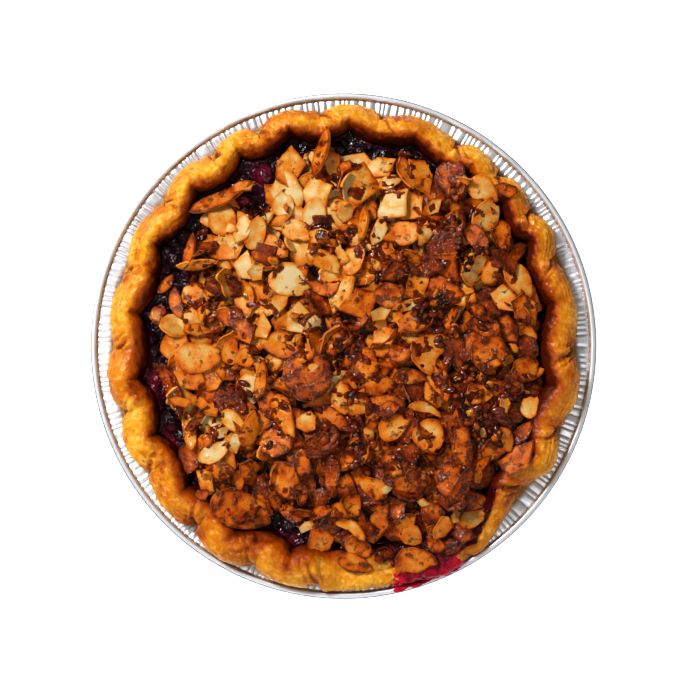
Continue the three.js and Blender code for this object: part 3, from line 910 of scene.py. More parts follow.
@dataclass
class FoilTin:
    """The foil tin: a flat base, pleated wall, crimped flange, pressed groove and rolled rim."""

    foil: float = 0.4
    base_radius: float = 60.2
    cup_radius: float = 75.3
    flange_height: float = 26.8
    groove_radius: float = 80.2
    groove_depth: float = 0.15
    bead_radius: float = 0.95
    bead_square: float = 0.62
    rim_radius: float = 82.42
    crimps: int = 226
    crimp_depth: float = 0.3
    crease_depth: float = 0.26
    unevenness: float = 0.55
    pleats: int = 42
    pleat_depth: float = 0.4
    angle_steps: int = 1920
    seed: int = 4
    name: str = "foil_tin"

    def side(self, offset: float) -> Array:
        """One side of the foil, from the middle of the base out to the groove's far bank.

        Args:
            offset: Distance from the foil's middle line, positive on the inner and upper side.

        Returns:
            Rows of radius, height, share of the crimps and share of the pleats.
        """
        z, groove = self.flange_height, self.groove_radius
        corner = 0.5 if offset > 0 else 0.9
        base = self.base_radius
        rows = [(0, 0.2, 0, 0), (30, 0.2, 0, 0), (base - 1.5, 0.2, 0, 0), (base, 0.5, 0, 0)]
        for share in np.linspace(0.06, 0.97, 5):
            radius = base + share * (self.cup_radius - base)
            rows.append((radius, share * z, 0, math.sin(math.pi * share) ** 0.3))
        rows += [(self.cup_radius - 0.1, z - corner, 0.25, 0.5), (self.cup_radius + 0.7, z - 0.05, 0.7, 0.1)]
        for share in np.linspace(0.3, 1, 4):
            radius = self.cup_radius + 0.7 + share * (groove - 1.15 - self.cup_radius)
            rows.append((radius, z, 1.0, 0))
        rows += [
            (groove - 0.26, z - 0.8 * self.groove_depth, 0.7, 0),
            (groove, z - self.groove_depth, 0.5, 0),
            (groove + 0.22, z - 0.7 * self.groove_depth, 0.2, 0),
            (groove + 0.42, z + 0.1, 0, 0),
        ]
        line = np.array(rows, float)
        slope = np.gradient(line[:, :2], axis=0)
        slope /= np.linalg.norm(slope, axis=1, keepdims=True)
        line[1:, 0] -= offset * slope[1:, 1]
        line[:, 1] += offset * slope[:, 0]
        return line

    def profile(self) -> Array:
        """The whole section: under the base, out round the rolled rim, and back over the top."""
        half = self.foil / 2
        turns = np.radians(np.linspace(-110, 152, 15))
        sine, cosine = (np.sign(v) * np.abs(v) ** self.bead_square for v in (np.sin(turns), np.cos(turns)))
        bead = np.stack(
            [
                self.rim_radius - self.bead_radius + self.bead_radius * cosine,
                self.flange_height + 0.5 + self.bead_radius * sine,
                np.zeros_like(turns),
                np.zeros_like(turns),
            ],
            axis=-1,
        )
        return np.concatenate([self.side(-half)[:-1], bead, self.side(half)[::-1]])

    def crimp(self, tree: NodeTree, source: NodeOutputs) -> Node:
        """Adds the nodes that crimp the flange and pleat the wall.

        Args:
            tree: The Geometry Nodes tree.
            source: Its inputs.

        Returns:
            The last of the nodes.
        """
        place = add_node(tree, "GeometryNodeInputPosition")
        xyz = add_node(tree, "SeparateXYZ", place).outputs
        angle = add_node(tree, "Math.ARCTAN2", xyz[1], xyz[0])
        east = add_node(tree, "Math.COSINE", angle)
        north = add_node(tree, "Math.SINE", angle)
        bearing = add_node(tree, "CombineXYZ", east, north, source["Seed"])
        drift = add_node(tree, "TexNoise", bearing, 9.0, 2.0)
        drift = add_node(tree, "Math.SUBTRACT", drift, 0.5)
        drift = add_node(tree, "Math.MULTIPLY", drift, source["Unevenness"])
        # The creases wander a little along their length as well as round the flange.
        wander = add_node(tree, "TexNoise", place, per_mm(5.0), 1.0)
        wander = add_node(tree, "Math.MULTIPLY_ADD", wander, 1.6, -0.8)
        turn = add_node(tree, "Math.MULTIPLY", angle, source["Crimps"])
        turn = add_node(tree, "Math.MULTIPLY_ADD", drift, 60.0, turn)
        turn = add_node(tree, "Math.ADD", turn, wander)
        turn = add_node(tree, "Math.DIVIDE", turn, math.pi)
        phase = add_node(tree, "Math.PINGPONG", turn, 1.0)
        crease = add_node(tree, "MapRange", phase, 0.0, 0.3, -1.0, 0.0)
        crease = add_node(tree, "Math.MULTIPLY", crease, source["Crease depth"])
        force = add_node(tree, "TexNoise", bearing, 22.0, 2.0)
        force = add_node(tree, "Math.MULTIPLY_ADD", force, 2.4, -0.2)
        fold = add_node(tree, "Math.SUBTRACT", phase, 0.5)
        for factor in (force, source["Crimp depth"]):
            fold = add_node(tree, "Math.MULTIPLY", fold, factor)
        fold = add_node(tree, "Math.ADD", fold, crease)
        pleat = add_node(tree, "Math.MULTIPLY", angle, source["Pleats"])
        pleat = add_node(tree, "Math.SINE", pleat)
        pleat = add_node(tree, "Math.MULTIPLY", pleat, source["Pleat depth"])
        flange, wall = (
            add_node(tree, "GeometryNodeInputNamedAttribute", name) for name in ("flange", "wall")
        )
        fold = add_node(tree, "Math.MULTIPLY", fold, flange)
        pleat = add_node(tree, "Math.MULTIPLY", pleat, wall)
        shift = add_node(tree, "CombineXYZ", east, north)
        shift = add_node(tree, "VectorMath.SCALE", shift, pleat)
        lift = add_node(tree, "CombineXYZ", Z=fold)
        shift = add_node(tree, "VectorMath.ADD", shift, lift)
        shift = add_node(tree, "VectorMath.SCALE", shift, MM)
        return add_node(tree, "GeometryNodeSetPosition", source["Geometry"], Offset=shift)

    def build(self) -> Object:
        """Builds the tin.

        Returns:
            The piece.
        """
        line = self.profile()
        line[[0, -1], 0] = 0
        out, height, flange, wall = line.T
        height = np.maximum(height, 0)
        turn = (np.arange(self.angle_steps) / self.angle_steps * 2 * math.pi)[:, None]
        # Painted shade: the outer edge of the rim and the wall below the flange are greyed.
        edge = smoothstep(out, self.rim_radius - 0.35, self.rim_radius - 0.1)
        outside = 0.62 * smoothstep(-height, 0.8 - self.flange_height, 1.6 - self.flange_height)
        # Painted reflection: a tan line along the groove, where the foil reflects the crust.
        painted_reflection = np.exp(-(((out - self.groove_radius) / 0.24) ** 4))
        traits = {"flange": flange, "wall": wall, "painted_reflection": painted_reflection, "painted_shade": np.maximum(edge, outside)}
        traits = {name: np.tile(values, (self.angle_steps, 1)) for name, values in traits.items()}
        tin = turned_piece(self.name, spin(out, turn, height), traits)
        values = {
            "Crimps": self.crimps,
            "Crimp depth": self.crimp_depth,
            "Crease depth": self.crease_depth,
            "Unevenness": self.unevenness,
            "Pleats": self.pleats,
            "Pleat depth": self.pleat_depth,
            "Seed": self.seed,
            "Material": RolledFoil("rolled aluminium foil").material(),
        }
        grow(tin, "crimped foil", self.crimp, values)
        return settle(tin, "foil", "tin")


@dataclass
class EdgeShape:
    """The pastry's edge at a set of angles."""

    outer: Array
    inner: Array
    crown: Array
    share: Array
    flute: Array
    slump: Array


@dataclass
class PastryCase:
    """The shortcrust case: pinched into flutes, and sunk and dragged at the front right."""

    pinches: tuple[float, ...] = (
        -0.5, 23, 36, 48, 61, 81, 96, 112, 125, 142, 161, 181, 197, 213, 231, 248, 264, 283, 301, 321.5, 339,
    )  # fmt: skip
    base: float = 0.75
    floor: float = 5.0
    floor_radius: float = 55.5
    foot_radius: float = 59.5
    shoulder: tuple[float, float] = (73.8, 26.2)
    cup_radius: float = 75.2
    root: tuple[float, float] = (62.0, 24.0)
    ledge: float = 27.5
    over_bead: float = 1.3
    edge_radius: float = 70.2
    longer: float = 2.4
    half_width: float = 4.9
    wider: float = 1.1
    swing: float = 1.9
    crown: float = 36.2
    lip: float = 30.5
    rim_limit: float = 81.9
    slump: tuple[float, float, float] = (270, 309, 10)
    slump_out: float = 2.6
    slump_drop: float = 5.2
    yellowest: float = 272
    section_length: float = 27
    layer: float = 1.5
    dragged: tuple[tuple[float, float], ...] = (
        (256, 82), (266, 79.6), (284, 79.2), (291, 80.4), (297, 81.9), (301, 81.8), (318, 74.6), (322, 72.9),
        (329, 79),
    )  # fmt: skip
    angle_steps: int = 1200
    section_steps: int = 74
    name: str = "shortcrust_case"

    def unevenness(self, flute: Array, kind: int) -> Array:
        """A fixed irregularity from -1 to 1 for each flute number."""
        wave = np.sin(flute * 12.9898 + kind * 78.233) * 43758.5453
        return 2 * (wave - np.floor(wave)) - 1

    def edge(self, degrees: Array) -> EdgeShape:
        """The edge at some angles.

        Args:
            degrees: The angles.

        Returns:
            Its radii and crown, the share of the way through each flute, the flute's number
            and how far it slumped.
        """
        first = self.pinches[0]
        turn = np.mod(np.asarray(degrees, float) - first, 360) + first
        marks = np.array(self.pinches + (first + 360,))
        flute = np.clip(np.searchsorted(marks, turn + 1e-9, side="right") - 1, 0, len(self.pinches) - 1)
        share = np.clip((turn - marks[flute]) / (marks[flute + 1] - marks[flute]), 0, 1)
        start, end, fade = self.slump
        off = np.abs(np.mod(turn - (start + end) / 2 + 180, 360) - 180)
        slump = fall(off, (end - start) / 2, (end - start) / 2 + fade)
        swing = self.swing * (1 - 0.7 * slump)
        sine = np.sin(np.radians(turn))
        arch = np.sin(math.pi * share)
        middle = self.edge_radius + self.longer * sine**2 + 0.5 * self.unevenness(flute, 1) * arch
        half = self.half_width - self.wider * sine
        swell = np.maximum(arch, 0) ** 0.7
        lobe = np.abs(np.cos(math.pi * share)) ** 0.7
        outer = middle + half + swing * (2 * swell - 1) + self.slump_out * slump
        limit = np.interp(turn, *zip(*self.dragged), left=self.rim_limit, right=99)
        outer = np.minimum(outer, np.minimum(limit, self.rim_limit))
        inner = middle - half - swing * (2 * lobe - 1)
        crown = self.crown + 0.7 * swell + 0.5 * self.unevenness(flute, 2) * swell - self.slump_drop * slump
        return EdgeShape(outer, inner, crown, share, flute, slump)

    def section(self, edge: EdgeShape) -> Array:
        """The part of the section that shows, smoothed.

        Args:
            edge: The edge at each angle.

        Returns:
            Radius and height, by angle and along the section from the tin's flange, up over
            the crown and down into the jam.
        """
        outer, inner, crown = edge.outer, edge.inner, edge.crown
        ledge = self.ledge + self.over_bead * smoothstep(outer - 1.2, 78.6, 80.2)
        rise = crown - ledge
        middle, half = (outer + inner) / 2, (outer - inner) / 2
        knots = [
            (np.full_like(outer, self.cup_radius), np.full_like(outer, self.ledge)),
            (outer - 1.2, ledge),
            (outer, ledge + 0.28 * rise),
            (outer - 0.9, ledge + 0.66 * rise),
            (middle + 0.46 * half, ledge + 0.9 * rise),
            (middle - 0.16 * half, crown),
            (inner + 0.26 * half, self.lip + 0.66 * (crown - self.lip)),
            (inner, np.full_like(outer, self.lip)),
            (inner - 0.9, np.full_like(outer, self.lip - 2.2)),
        ]
        line = np.stack([np.stack(knot, axis=-1) for knot in knots], axis=1)
        return smooth_line(line, self.section_steps)

    def relief(self, points: Array, degrees: Array, across: Array, edge: EdgeShape) -> Array:
        """How far the baked dough stands out from its plain shape.

        Args:
            points: The plain shape.
            degrees: The angle of each profile.
            across: Share of the way along the section, by angle and sample.
            edge: The edge at each angle.

        Returns:
            Height in millimetres, by angle and sample.
        """
        lumps = 0.6 * layered_noise(points, 5.0, 11) + 0.3 * layered_noise(points, 1.9, 23)
        blisters = 0.22 * smoothstep(smooth_noise(points, 1.4, 31), 0.25, 0.9)
        pits = -0.2 * smoothstep(smooth_noise(points, 1.3, 37), 0.45, 0.95)
        layers = self.section_length * across + 1.6 * smooth_noise(points, 8.0, 41)
        layers = np.sin(2 * math.pi * layers / self.layer)
        layers *= 0.22 * (1 - 0.85 * edge.slump[:, None]) * fall(across, 0.4, 0.64)
        layers *= smoothstep(smooth_noise(points, 9.0, 43), -0.7, 0.1)
        folds = np.zeros_like(lumps)
        rng = np.random.default_rng(7)
        for pinch in self.pinches:
            slant, depth, bow = rng.uniform(8, 15), rng.uniform(0.8, 1.4), rng.uniform(0, 14)
            arc = np.radians(np.mod(degrees - pinch + 180, 360) - 180)[:, None] * self.edge_radius
            arc = arc + slant * (across - 0.3) + bow * (across - 0.3) ** 2
            arc -= 0.9 * smooth_noise(points, 3.0, 47)
            mask = band(across, 0.03, 0.14, 0.46, 0.76)
            folds -= depth * mask * np.exp(-((arc / 0.7) ** 2))
            folds += 0.7 * depth * mask * np.exp(-(((arc - 1.6) / 1.3) ** 2))
            folds -= 0.4 * depth * mask * np.exp(-(((arc + 2.0) / 0.4) ** 2))
        return lumps + blisters + pits + layers + folds * (1 - 0.8 * edge.slump[:, None])

    def traits(self, points: Array, across: Array, edge: EdgeShape, folds: Array) -> dict[str, Array]:
        """How the pastry baked, with painted shade mixed in: what its finish reads.

        Args:
            points: The shape.
            across: Share of the way along the section.
            edge: The edge at each angle.
            folds: The relief.

        Returns:
            Values by name.
        """
        slump = edge.slump[:, None]
        front = smoothstep(-points[..., 1], 45, 80)
        noise = layered_noise(points, 11.0, 53)
        pinched = np.abs(np.cos(math.pi * edge.share))[:, None] ** 3
        inside = smoothstep(across, 0.54, 0.8)
        # Painted shade is mixed into the browning: darker on the inner flank, in the lows of the relief and
        # in the pinched valleys.
        bake_and_shade = 0.3 + 0.6 * inside + 0.32 * noise + 0.45 * smoothstep(-folds, 0.0, 1.1)
        bake_and_shade += 0.2 * pinched * fall(across, 0.3, 0.6)
        bake_and_shade += (0.08 + 0.28 * inside) * smoothstep(points[..., 0], 0, 65) * (1 - slump)
        bake_and_shade += 0.35 * smoothstep(layered_noise(points, 4.0, 61), 0.15, 0.95) * (1 - slump)
        turn = np.degrees(np.arctan2(points[..., 1], points[..., 0])) % 360
        yellow = fall(np.abs(turn - self.yellowest), 24, 44)
        bake_and_shade += 0.2 * front * (1 - slump) + 0.03 * slump - 0.04 * yellow
        pale = fall(across, 0.16, 0.4) * (0.75 + 0.25 * noise)
        pale = np.maximum(0.85 * pale * (1 - 0.6 * slump), 0.25 * yellow * fall(across, 0.34, 0.6))
        pale = np.clip(pale + 0.25 * smoothstep(-folds, 0.25, 0.7) * (across < 0.6), 0, 1)
        height = points[..., 2] - self.lip
        wick = 1.4 + 1.3 * layered_noise(points, 4.0, 67)
        stain = fall(height, 0.1, np.maximum(wick, 0.4)) * (across > 0.55)
        return {"bake_and_shade": bake_and_shade, "pale": pale, "stain": 0.9 * stain, "across": self.section_length * across}

    def surface(self, degrees: Array) -> tuple[Array, Array, Array]:
        """The surface that shows, with its relief.

        Args:
            degrees: The angle of each profile.

        Returns:
            Positions, share of the way along the section and relief, by angle and sample.
        """
        edge = self.edge(degrees)
        line, turn = self.section(edge), np.radians(degrees)[:, None]
        shown = spin(line[..., 0], turn, line[..., 1])
        across = np.tile(np.linspace(0, 1, self.section_steps), (len(degrees), 1))
        relief = self.relief(shown, degrees, across, edge)
        relief[:, 0] = 0
        shown = shown + surface_normals(shown) * relief[..., None]
        shown[..., 2] = np.maximum(shown[..., 2], self.ledge - 0.1)
        radius = np.hypot(shown[..., 0], shown[..., 1])
        shown[..., :2] *= np.minimum(1, self.rim_limit / radius)[..., None]
        return shown, across, relief

    def build(self) -> Object:
        """Builds the case.

        Returns:
            The piece.
        """
        degrees = np.arange(self.angle_steps) / self.angle_steps * 360
        edge = self.edge(degrees)
        turn = np.radians(degrees)[:, None]

        def plain(*knots: tuple[float, float]) -> Array:
            """A hidden part of the section, the same all round."""
            out, height = np.array(knots, float).T
            return spin(out, turn, height)

        shown, across, relief = self.surface(degrees)
        below = plain((0, self.base), (self.foot_radius, self.base), self.shoulder)
        above = plain(self.root, (self.floor_radius, self.floor), (0, self.floor))
        traits = self.traits(shown, across, edge, relief)
        padded = {k: np.pad(v, ((0, 0), (3, 3)), mode="edge") for k, v in traits.items()}
        case = turned_piece(self.name, np.concatenate([below, shown, above], axis=1), padded)
        return settle(case, "pastry", "crust", finish=BakedShortcrust("baked shortcrust"))


@dataclass
class BerryFilling:
    """The filling: set juice with berries lying just under its surface."""

    level: float = 29.6
    dome: float = 0.6
    climb: float = 0.7
    highest: float = 31.6
    gap: float = 0.35
    root: tuple[float, float] = (61.5, 24.0)
    floor: float = 5.35
    floor_radius: float = 55.15
    ring: float = 44.0
    hidden_ring: float = 22.0
    sunken: int = 210
    # Angle, distance from the axis and radius of each place where the juice is thin.
    thin_spots: tuple[Spot, ...] = ((117, 60, 7), (190, 62, 6), (150, 58, 4), (255, 64, 3))
    angle_steps: int = 900
    shown_rows: int = 52
    seed: int = 12
    name: str = "berry_filling"

    def height(self, radius: Array) -> Array:
        """Level of the juice at a radius."""
        return self.level + self.dome * np.maximum(1 - radius / 66, 0)

    def berries(self) -> list[tuple[float, float, float, float]]:
        """Where the berries lie under the surface: X, Y, height of the middle and radius."""
        rng = np.random.default_rng(self.seed)
        placed: list[tuple[float, float, float, float]] = []
        while len(placed) < self.sunken:
            turn, out = rng.uniform(0, 2 * math.pi), math.sqrt(rng.uniform(self.ring**2, 67**2))
            size = rng.uniform(2.6, 3.9)
            x, y = out * math.cos(turn), out * math.sin(turn)
            if all(math.hypot(x - a, y - b) > 0.8 * (size + r) for a, b, _, r in placed):
                placed.append((x, y, self.level + rng.uniform(0.6, 2.0) - size, size))
        return placed

    def build(self, case: PastryCase) -> Object:
        """Builds the filling inside the case.

        Args:
            case: The pastry it fills.

        Returns:
            The piece.
        """
        degrees = np.arange(self.angle_steps) / self.angle_steps * 360
        turn = np.radians(degrees)[:, None]
        edge = (case.edge(degrees).inner - 1.6 * self.gap)[:, None]
        share = np.linspace(1, 0, self.shown_rows)[None, :]
        radius = self.ring + share * (edge - self.ring)
        flat = spin(radius, turn, 0.0)
        z = self.height(radius)
        for x, y, middle, size in self.berries():
            away = np.hypot(flat[..., 0] - x, flat[..., 1] - y)
            cap = middle + np.sqrt(np.maximum(size**2 - away**2, 0))
            blend = 0.5 + 0.5 * np.tanh((cap - z) / 0.35)
            z = np.where(away < size, z + blend * np.maximum(cap - z, 0), z)
        z = z + 0.6 * layered_noise(flat, 3.4, 71) + 0.25 * layered_noise(flat, 1.3, 73)
        z = np.minimum(z + self.climb * np.exp(-(edge - radius) / 0.9), self.highest)
        thin = 0.12 + 0.5 * smoothstep(layered_noise(flat, 9.0, 79), 0.15, 0.8)
        thin += 0.35 * smoothstep(radius - edge, -1.6, 0)
        for spot_turn, out, size in self.thin_spots:
            x, y = out * math.cos(math.radians(spot_turn)), out * math.sin(math.radians(spot_turn))
            thin += 0.6 * np.exp(-((np.hypot(flat[..., 0] - x, flat[..., 1] - y) / size) ** 2))
        rings = [
            spin(0, turn, self.floor),
            spin(self.floor_radius, turn, self.floor),
            spin(self.root[0], turn, self.root[1]),
            spin(radius, turn, z),
            spin(self.hidden_ring, turn, self.height(self.hidden_ring)),
            spin(0, turn, self.height(0)),
        ]
        thin = np.pad(np.clip(thin, 0, 1), ((0, 0), (3, 2)), mode="edge")
        filling = turned_piece(self.name, np.concatenate(rings, axis=1), {"thin": thin})
        return settle(filling, "jam", "filling", finish=BerryJam("set blueberry juice"))


class BerryKind(Enum):
    """How a whole berry cooked: the finish that its skin has."""

    DARK = CookedBerry("cooked blueberry skin")
    CRIMSON = CookedBerry(
        "burst blueberry skin", stops=((0.38, "#560a22"), (0.66, "#8d1a3a")), patches=(3.2, 4.0)
    )
    BLUSH = CookedBerry(
        "underripe blueberry skin", stops=((0.38, "#8e1d35"), (0.66, "#e2a34e")), patches=(4.6, 4.0)
    )


@dataclass
class WholeBerries:
    """The whole berries that show between the topping and the pastry."""

    rings: int = 36
    segments: int = 56
    wrinkle: float = 0.3

    def build_one(self, node: str, kind: BerryKind) -> Object:
        """Builds one berry where the frame has it.

        Args:
            node: The CAD node it stands for.
            kind: How it cooked.

        Returns:
            The piece.
        """
        low, high = (np.array(corner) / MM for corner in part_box(node))
        middle, radius = (low + high) / 2, (high - low) / 2
        plain = ball(self.rings, self.segments)
        seed = int(abs(middle[0]) * 10)
        dent = 1 - 0.09 * smoothstep(plain @ np.array([0.5, -0.3, 0.8]), 0.8, 1)
        folds = np.abs(layered_noise(plain * 3, 1.5, seed))
        skin = dent * (1 - self.wrinkle * (0.35 - np.minimum(folds, 0.35)))
        berry = turned_piece(node.replace("berry", "whole_berry"), middle + plain * radius * skin[..., None])
        return settle(berry, "berry", node, finish=kind.value)

    def build(self, nodes: list[str]) -> list[Object]:
        """Builds every berry of the frame.

        Args:
            nodes: The names of the berries' CAD nodes.

        Returns:
            The pieces.
        """
        made = []
        for node in nodes:
            kind = BerryKind.BLUSH if "blush" in node else BerryKind.DARK
            kind = BerryKind.CRIMSON if "crimson" in node else kind
            made.append(self.build_one(node, kind))
        return made


# ------------------------------------------------------------------ the almond topping


class Cut(Enum):
    """The outlines that sliced almonds break into."""

    OVAL = "oval"
    HALF = "half"
    CHIP = "chip"
    SLIVER = "sliver"


@dataclass(frozen=True)
class Slice:
    """One sliced almond of the heap: where it lies, its size, how it is turned, and how dark it baked."""

    x: float
    y: float
    length: float
    width: float
    heading: float
    cut: Cut
    tone: float
    tilt: float = 0.0
    towards: float = 0.0


@dataclass
class Heap:
    """The plain shape of the heap of almonds."""

    outline: tuple[tuple[float, float], ...] = (
        (0, 66.5), (20, 65), (40, 67), (62, 68), (72, 66), (80, 61), (92, 61.5), (96.5, 66), (101, 61.5),
        (110, 56.5), (121, 53), (131, 60), (142, 62), (151, 58), (161, 54), (172, 56), (184, 59.5),
        (205, 58.5), (214, 59.5), (224, 65.5), (240, 67), (249, 59), (257, 59), (268, 68), (292, 69.5),
        (320, 68), (340, 66.5),
    )  # fmt: skip
    lean_angle: float = -20
    edge: float = 3.2
    edge_lean: float = 1.8
    middle: float = 6.2
    lump: float = 0.7

    def reach(self, degrees: Array, case: PastryCase) -> Array:
        """How far the heap reaches at some angles, never past the pastry."""
        turn, radius = zip(*self.outline)
        heap = np.interp(np.mod(degrees, 360), turn, radius, period=360)
        return np.minimum(heap, case.edge(degrees).inner - 1.8)

    def top(self, x: Array, y: Array, case: PastryCase, filling: BerryFilling) -> tuple[Array, Array]:
        """Height of the heap's plain top.

        Args:
            x: X in millimetres.
            y: Y in millimetres.
            case: The pastry round it.
            filling: The filling under it.

        Returns:
            The height, and the share of the way from the middle to the edge.
        """
        degrees, radius = np.degrees(np.arctan2(y, x)), np.hypot(x, y)
        share = radius / self.reach(degrees, case)
        inside = np.minimum(share, 1)
        lean = np.cos(np.radians(degrees - self.lean_angle)) * inside
        lumps = self.lump * np.sin(0.31 * x + 1.3) * np.cos(0.27 * y - 0.4)
        thick = self.edge + self.edge_lean * lean + self.middle * (1 - inside**2) + lumps
        return filling.height(radius) + filling.gap + thick, share


@dataclass
class LieOfTheHeap:
    """A height map of the pie, which each slice is laid on in turn."""

    case: PastryCase
    filling: BerryFilling
    heap: Heap
    berries: list[str]
    step: float = 0.4
    half: float = 82.0
    core_drop: float = 3.4
    steepest: float = 26.0

    def __post_init__(self) -> None:
        """Starts from the jam, the pastry, the berries and the heap's own core."""
        self.axis = np.arange(-self.half, self.half + self.step, self.step)
        self.x, self.y = np.meshgrid(self.axis, self.axis, indexing="ij")
        degrees = np.degrees(np.arctan2(self.y, self.x))
        radius = np.hypot(self.x, self.y)
        edge, lip = self.case.edge(degrees), self.case.lip
        self.target, self.share = self.heap.top(self.x, self.y, self.case, self.filling)
        self.height = np.where(radius < edge.inner, self.filling.height(radius) + 0.5, 0.0)
        half_width = (edge.outer - edge.inner) / 2
        across = np.clip((radius - edge.inner) / (0.7 * half_width), 0, 1)
        slope = lip + (edge.crown - lip) * np.sin(across * math.pi / 2)
        self.height = np.where((radius >= edge.inner) & (radius < edge.outer), slope, self.height)
        core = self.target - self.core_drop
        self.height = np.where(self.share < 1, np.maximum(self.height, core), self.height)
        for node in self.berries:
            low, high = (np.array(corner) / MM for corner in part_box(node))
            (x, y, z), (wide, deep, tall) = (low + high) / 2, (high - low) / 2
            inside = np.clip(1 - ((self.x - x) / wide) ** 2 - ((self.y - y) / deep) ** 2, 0, 1)
            berry = np.where(inside > 0, z + tall * np.sqrt(inside), 0.0)
            self.height = np.maximum(self.height, berry)

    def lay(self, piece: Slice, thickness: float, ceiling: float) -> tuple[Array, Matrix]:
        """Lays a slice on what is there already, and adds it to the map.

        Args:
            piece: The slice.
            thickness: How thick it is.
            ceiling: The highest that it may reach.

        Returns:
            Its middle, and how it is turned.
        """
        reach = 0.5 * max(piece.length, piece.width) + self.step
        near = [np.searchsorted(self.axis, (v - reach, v + reach)) for v in (piece.x, piece.y)]
        window = slice(*near[0]), slice(*near[1])
        dx, dy = self.x[window] - piece.x, self.y[window] - piece.y
        c, s = math.cos(math.radians(piece.heading)), math.sin(math.radians(piece.heading))
        squeeze = max(math.cos(math.radians(piece.tilt)), 0.25)
        along, aside = dx * c + dy * s, -dx * s + dy * c
        under = (along / (0.5 * piece.length)) ** 2 + (aside / (0.5 * piece.width * squeeze)) ** 2 < 1
        ground = self.height[window]
        px, py, pz = dx[under], dy[under], ground[under]
        fit = np.linalg.lstsq(np.stack([px, py, np.ones_like(px)], axis=1), pz, rcond=None)[0]
        lean = math.tan(math.radians(piece.tilt))
        slope = 0.6 * fit[:2] + lean * np.array(
            [math.cos(math.radians(piece.towards)), math.sin(math.radians(piece.towards))]
        )
        steep = float(np.hypot(*slope))
        limit = max(math.tan(math.radians(self.steepest)), lean)
        slope = slope * min(1, limit / max(steep, 1e-6))
        plane = slope[0] * px + slope[1] * py
        level = float(np.percentile(pz - plane, 72 if piece.tilt < 30 else 88))
        level -= max(level + float(plane.max()) + thickness - ceiling, 0)
        ground[under] = np.maximum(pz, level + plane + thickness)
        normal = Vector((-slope[0], -slope[1], 1)).normalized()
        level_turn = Matrix.Rotation(math.radians(piece.heading), 3, "Z")
        tip = Vector((0, 0, 1)).rotation_difference(normal).to_matrix()
        return np.array([piece.x, piece.y, level + thickness / 2]), tip @ level_turn


@dataclass
class AlmondShapes:
    """The shapes that slices are picked from, each a thin curved plate with a cut edge."""

    length: float = 12.0
    width: float = 8.0
    thickness: float = 1.05
    corners: int = 25
    each: int = 5
    seed: int = 3

    def outline(self, cut: Cut, rng: np.random.Generator) -> Array:
        """The outline of one slice, with length and width 1.

        Args:
            cut: How it broke.
            rng: The random draw.

        Returns:
            Corners, anticlockwise.
        """
        turn = np.arange(self.corners) / self.corners * 2 * math.pi
        wobble = 1 + 0.03 * np.sin(3 * turn + rng.uniform(0, 6)) + 0.022 * rng.normal(size=self.corners)
        if cut is Cut.SLIVER:
            x, y = 0.5 * np.cos(turn), 0.5 * np.sign(np.sin(turn)) * np.abs(np.sin(turn)) ** 1.4
            return np.stack([x * wobble, y * wobble + 0.12 * np.cos(turn) ** 2], axis=-1)
        if cut is Cut.CHIP:
            sides = int(rng.integers(4, 7))
            bearing = (np.arange(sides) + rng.uniform(-0.25, 0.25, sides)) / sides * 2 * math.pi
            knots = 0.56 * np.stack([np.cos(bearing), np.sin(bearing)], axis=-1)
            knots = knots * rng.uniform(0.82, 1.08, (sides, 1))
            share = np.arange(self.corners) / self.corners * sides
            side, part = share.astype(int), (share % 1)[:, None]
            edge = knots[side] * (1 - part) + knots[(side + 1) % sides] * part
            return edge * (1 + 0.02 * rng.normal(size=(self.corners, 1)))
        x = 0.5 * np.cos(turn)
        y = 0.5 * np.sin(turn) * np.abs(np.sin(turn)) ** 0.12 * (1 - 0.3 * np.cos(turn))
        if cut is Cut.HALF:
            line = rng.uniform(-0.12, 0.02)
            y = np.maximum(y, line + 0.05 * np.sin(9 * x + rng.uniform(0, 6)))
            y = (y - 0.19) * 1.35
        elif rng.random() < 0.7:
            x = np.minimum(x, rng.uniform(0.26, 0.42) + rng.uniform(-0.3, 0.3) * y + 0.03 * np.sin(14 * y))
        return np.stack([x * wobble, y * wobble], axis=-1)

    def shape(self, cut: Cut, number: int, rng: np.random.Generator) -> Object:
        """One slice, lying flat with its middle at the origin.

        Args:
            cut: How it broke.
            number: Its place on the shelf, which sets its name.
            rng: The random draw.

        Returns:
            The shape.
        """
        edge = self.outline(cut, rng) * (self.length, self.width)
        cup, twist, ridge = rng.uniform(-0.9, 0.7), rng.uniform(-0.6, 0.6), rng.uniform(-0.2, 0.2)
        # Share of the outline, of half the thickness, and of the edge's finish, from below to the top.
        layers = [
            (0.0, -1, 0.0), (0.5, -1, 0.0), (0.95, -1, 0.8), (1.0, -0.6, 1.0), (1.0, 0.6, 1.0),
            (0.97, 1, 0.95), (0.8, 1, 0.3), (0.38, 1, 0.0), (0.0, 1, 0.0),
        ]  # fmt: skip
        scale, level, rim = np.array(layers).T
        x, y = edge[:, :1] * scale, edge[:, 1:] * scale
        u, v = x / (0.5 * self.length), y / (0.5 * self.width)
        # The plate bent as it dried in the oven.
        bent = cup * (u**2 + 0.4 * v**2) + twist * u * v + ridge * np.cos(2.4 * v)
        rings = positions(x, y, level * self.thickness / 2 + bent)
        return turned_piece(f"almond_shape_{number:02d}", rings, {"rim": np.tile(rim, (self.corners, 1))})

    def shelf(self) -> Collection:
        """Every shape, in the order of Cut and then of number."""
        rng = np.random.default_rng(self.seed)
        cuts = [cut for cut in Cut for _ in range(self.each)]
        return shelve([self.shape(cut, k, rng) for k, cut in enumerate(cuts)], "almond shapes")

    def pick(self, cut: Cut, rng: np.random.Generator) -> int:
        """The number of one shape of a cut."""
        return list(Cut).index(cut) * self.each + int(rng.integers(self.each))


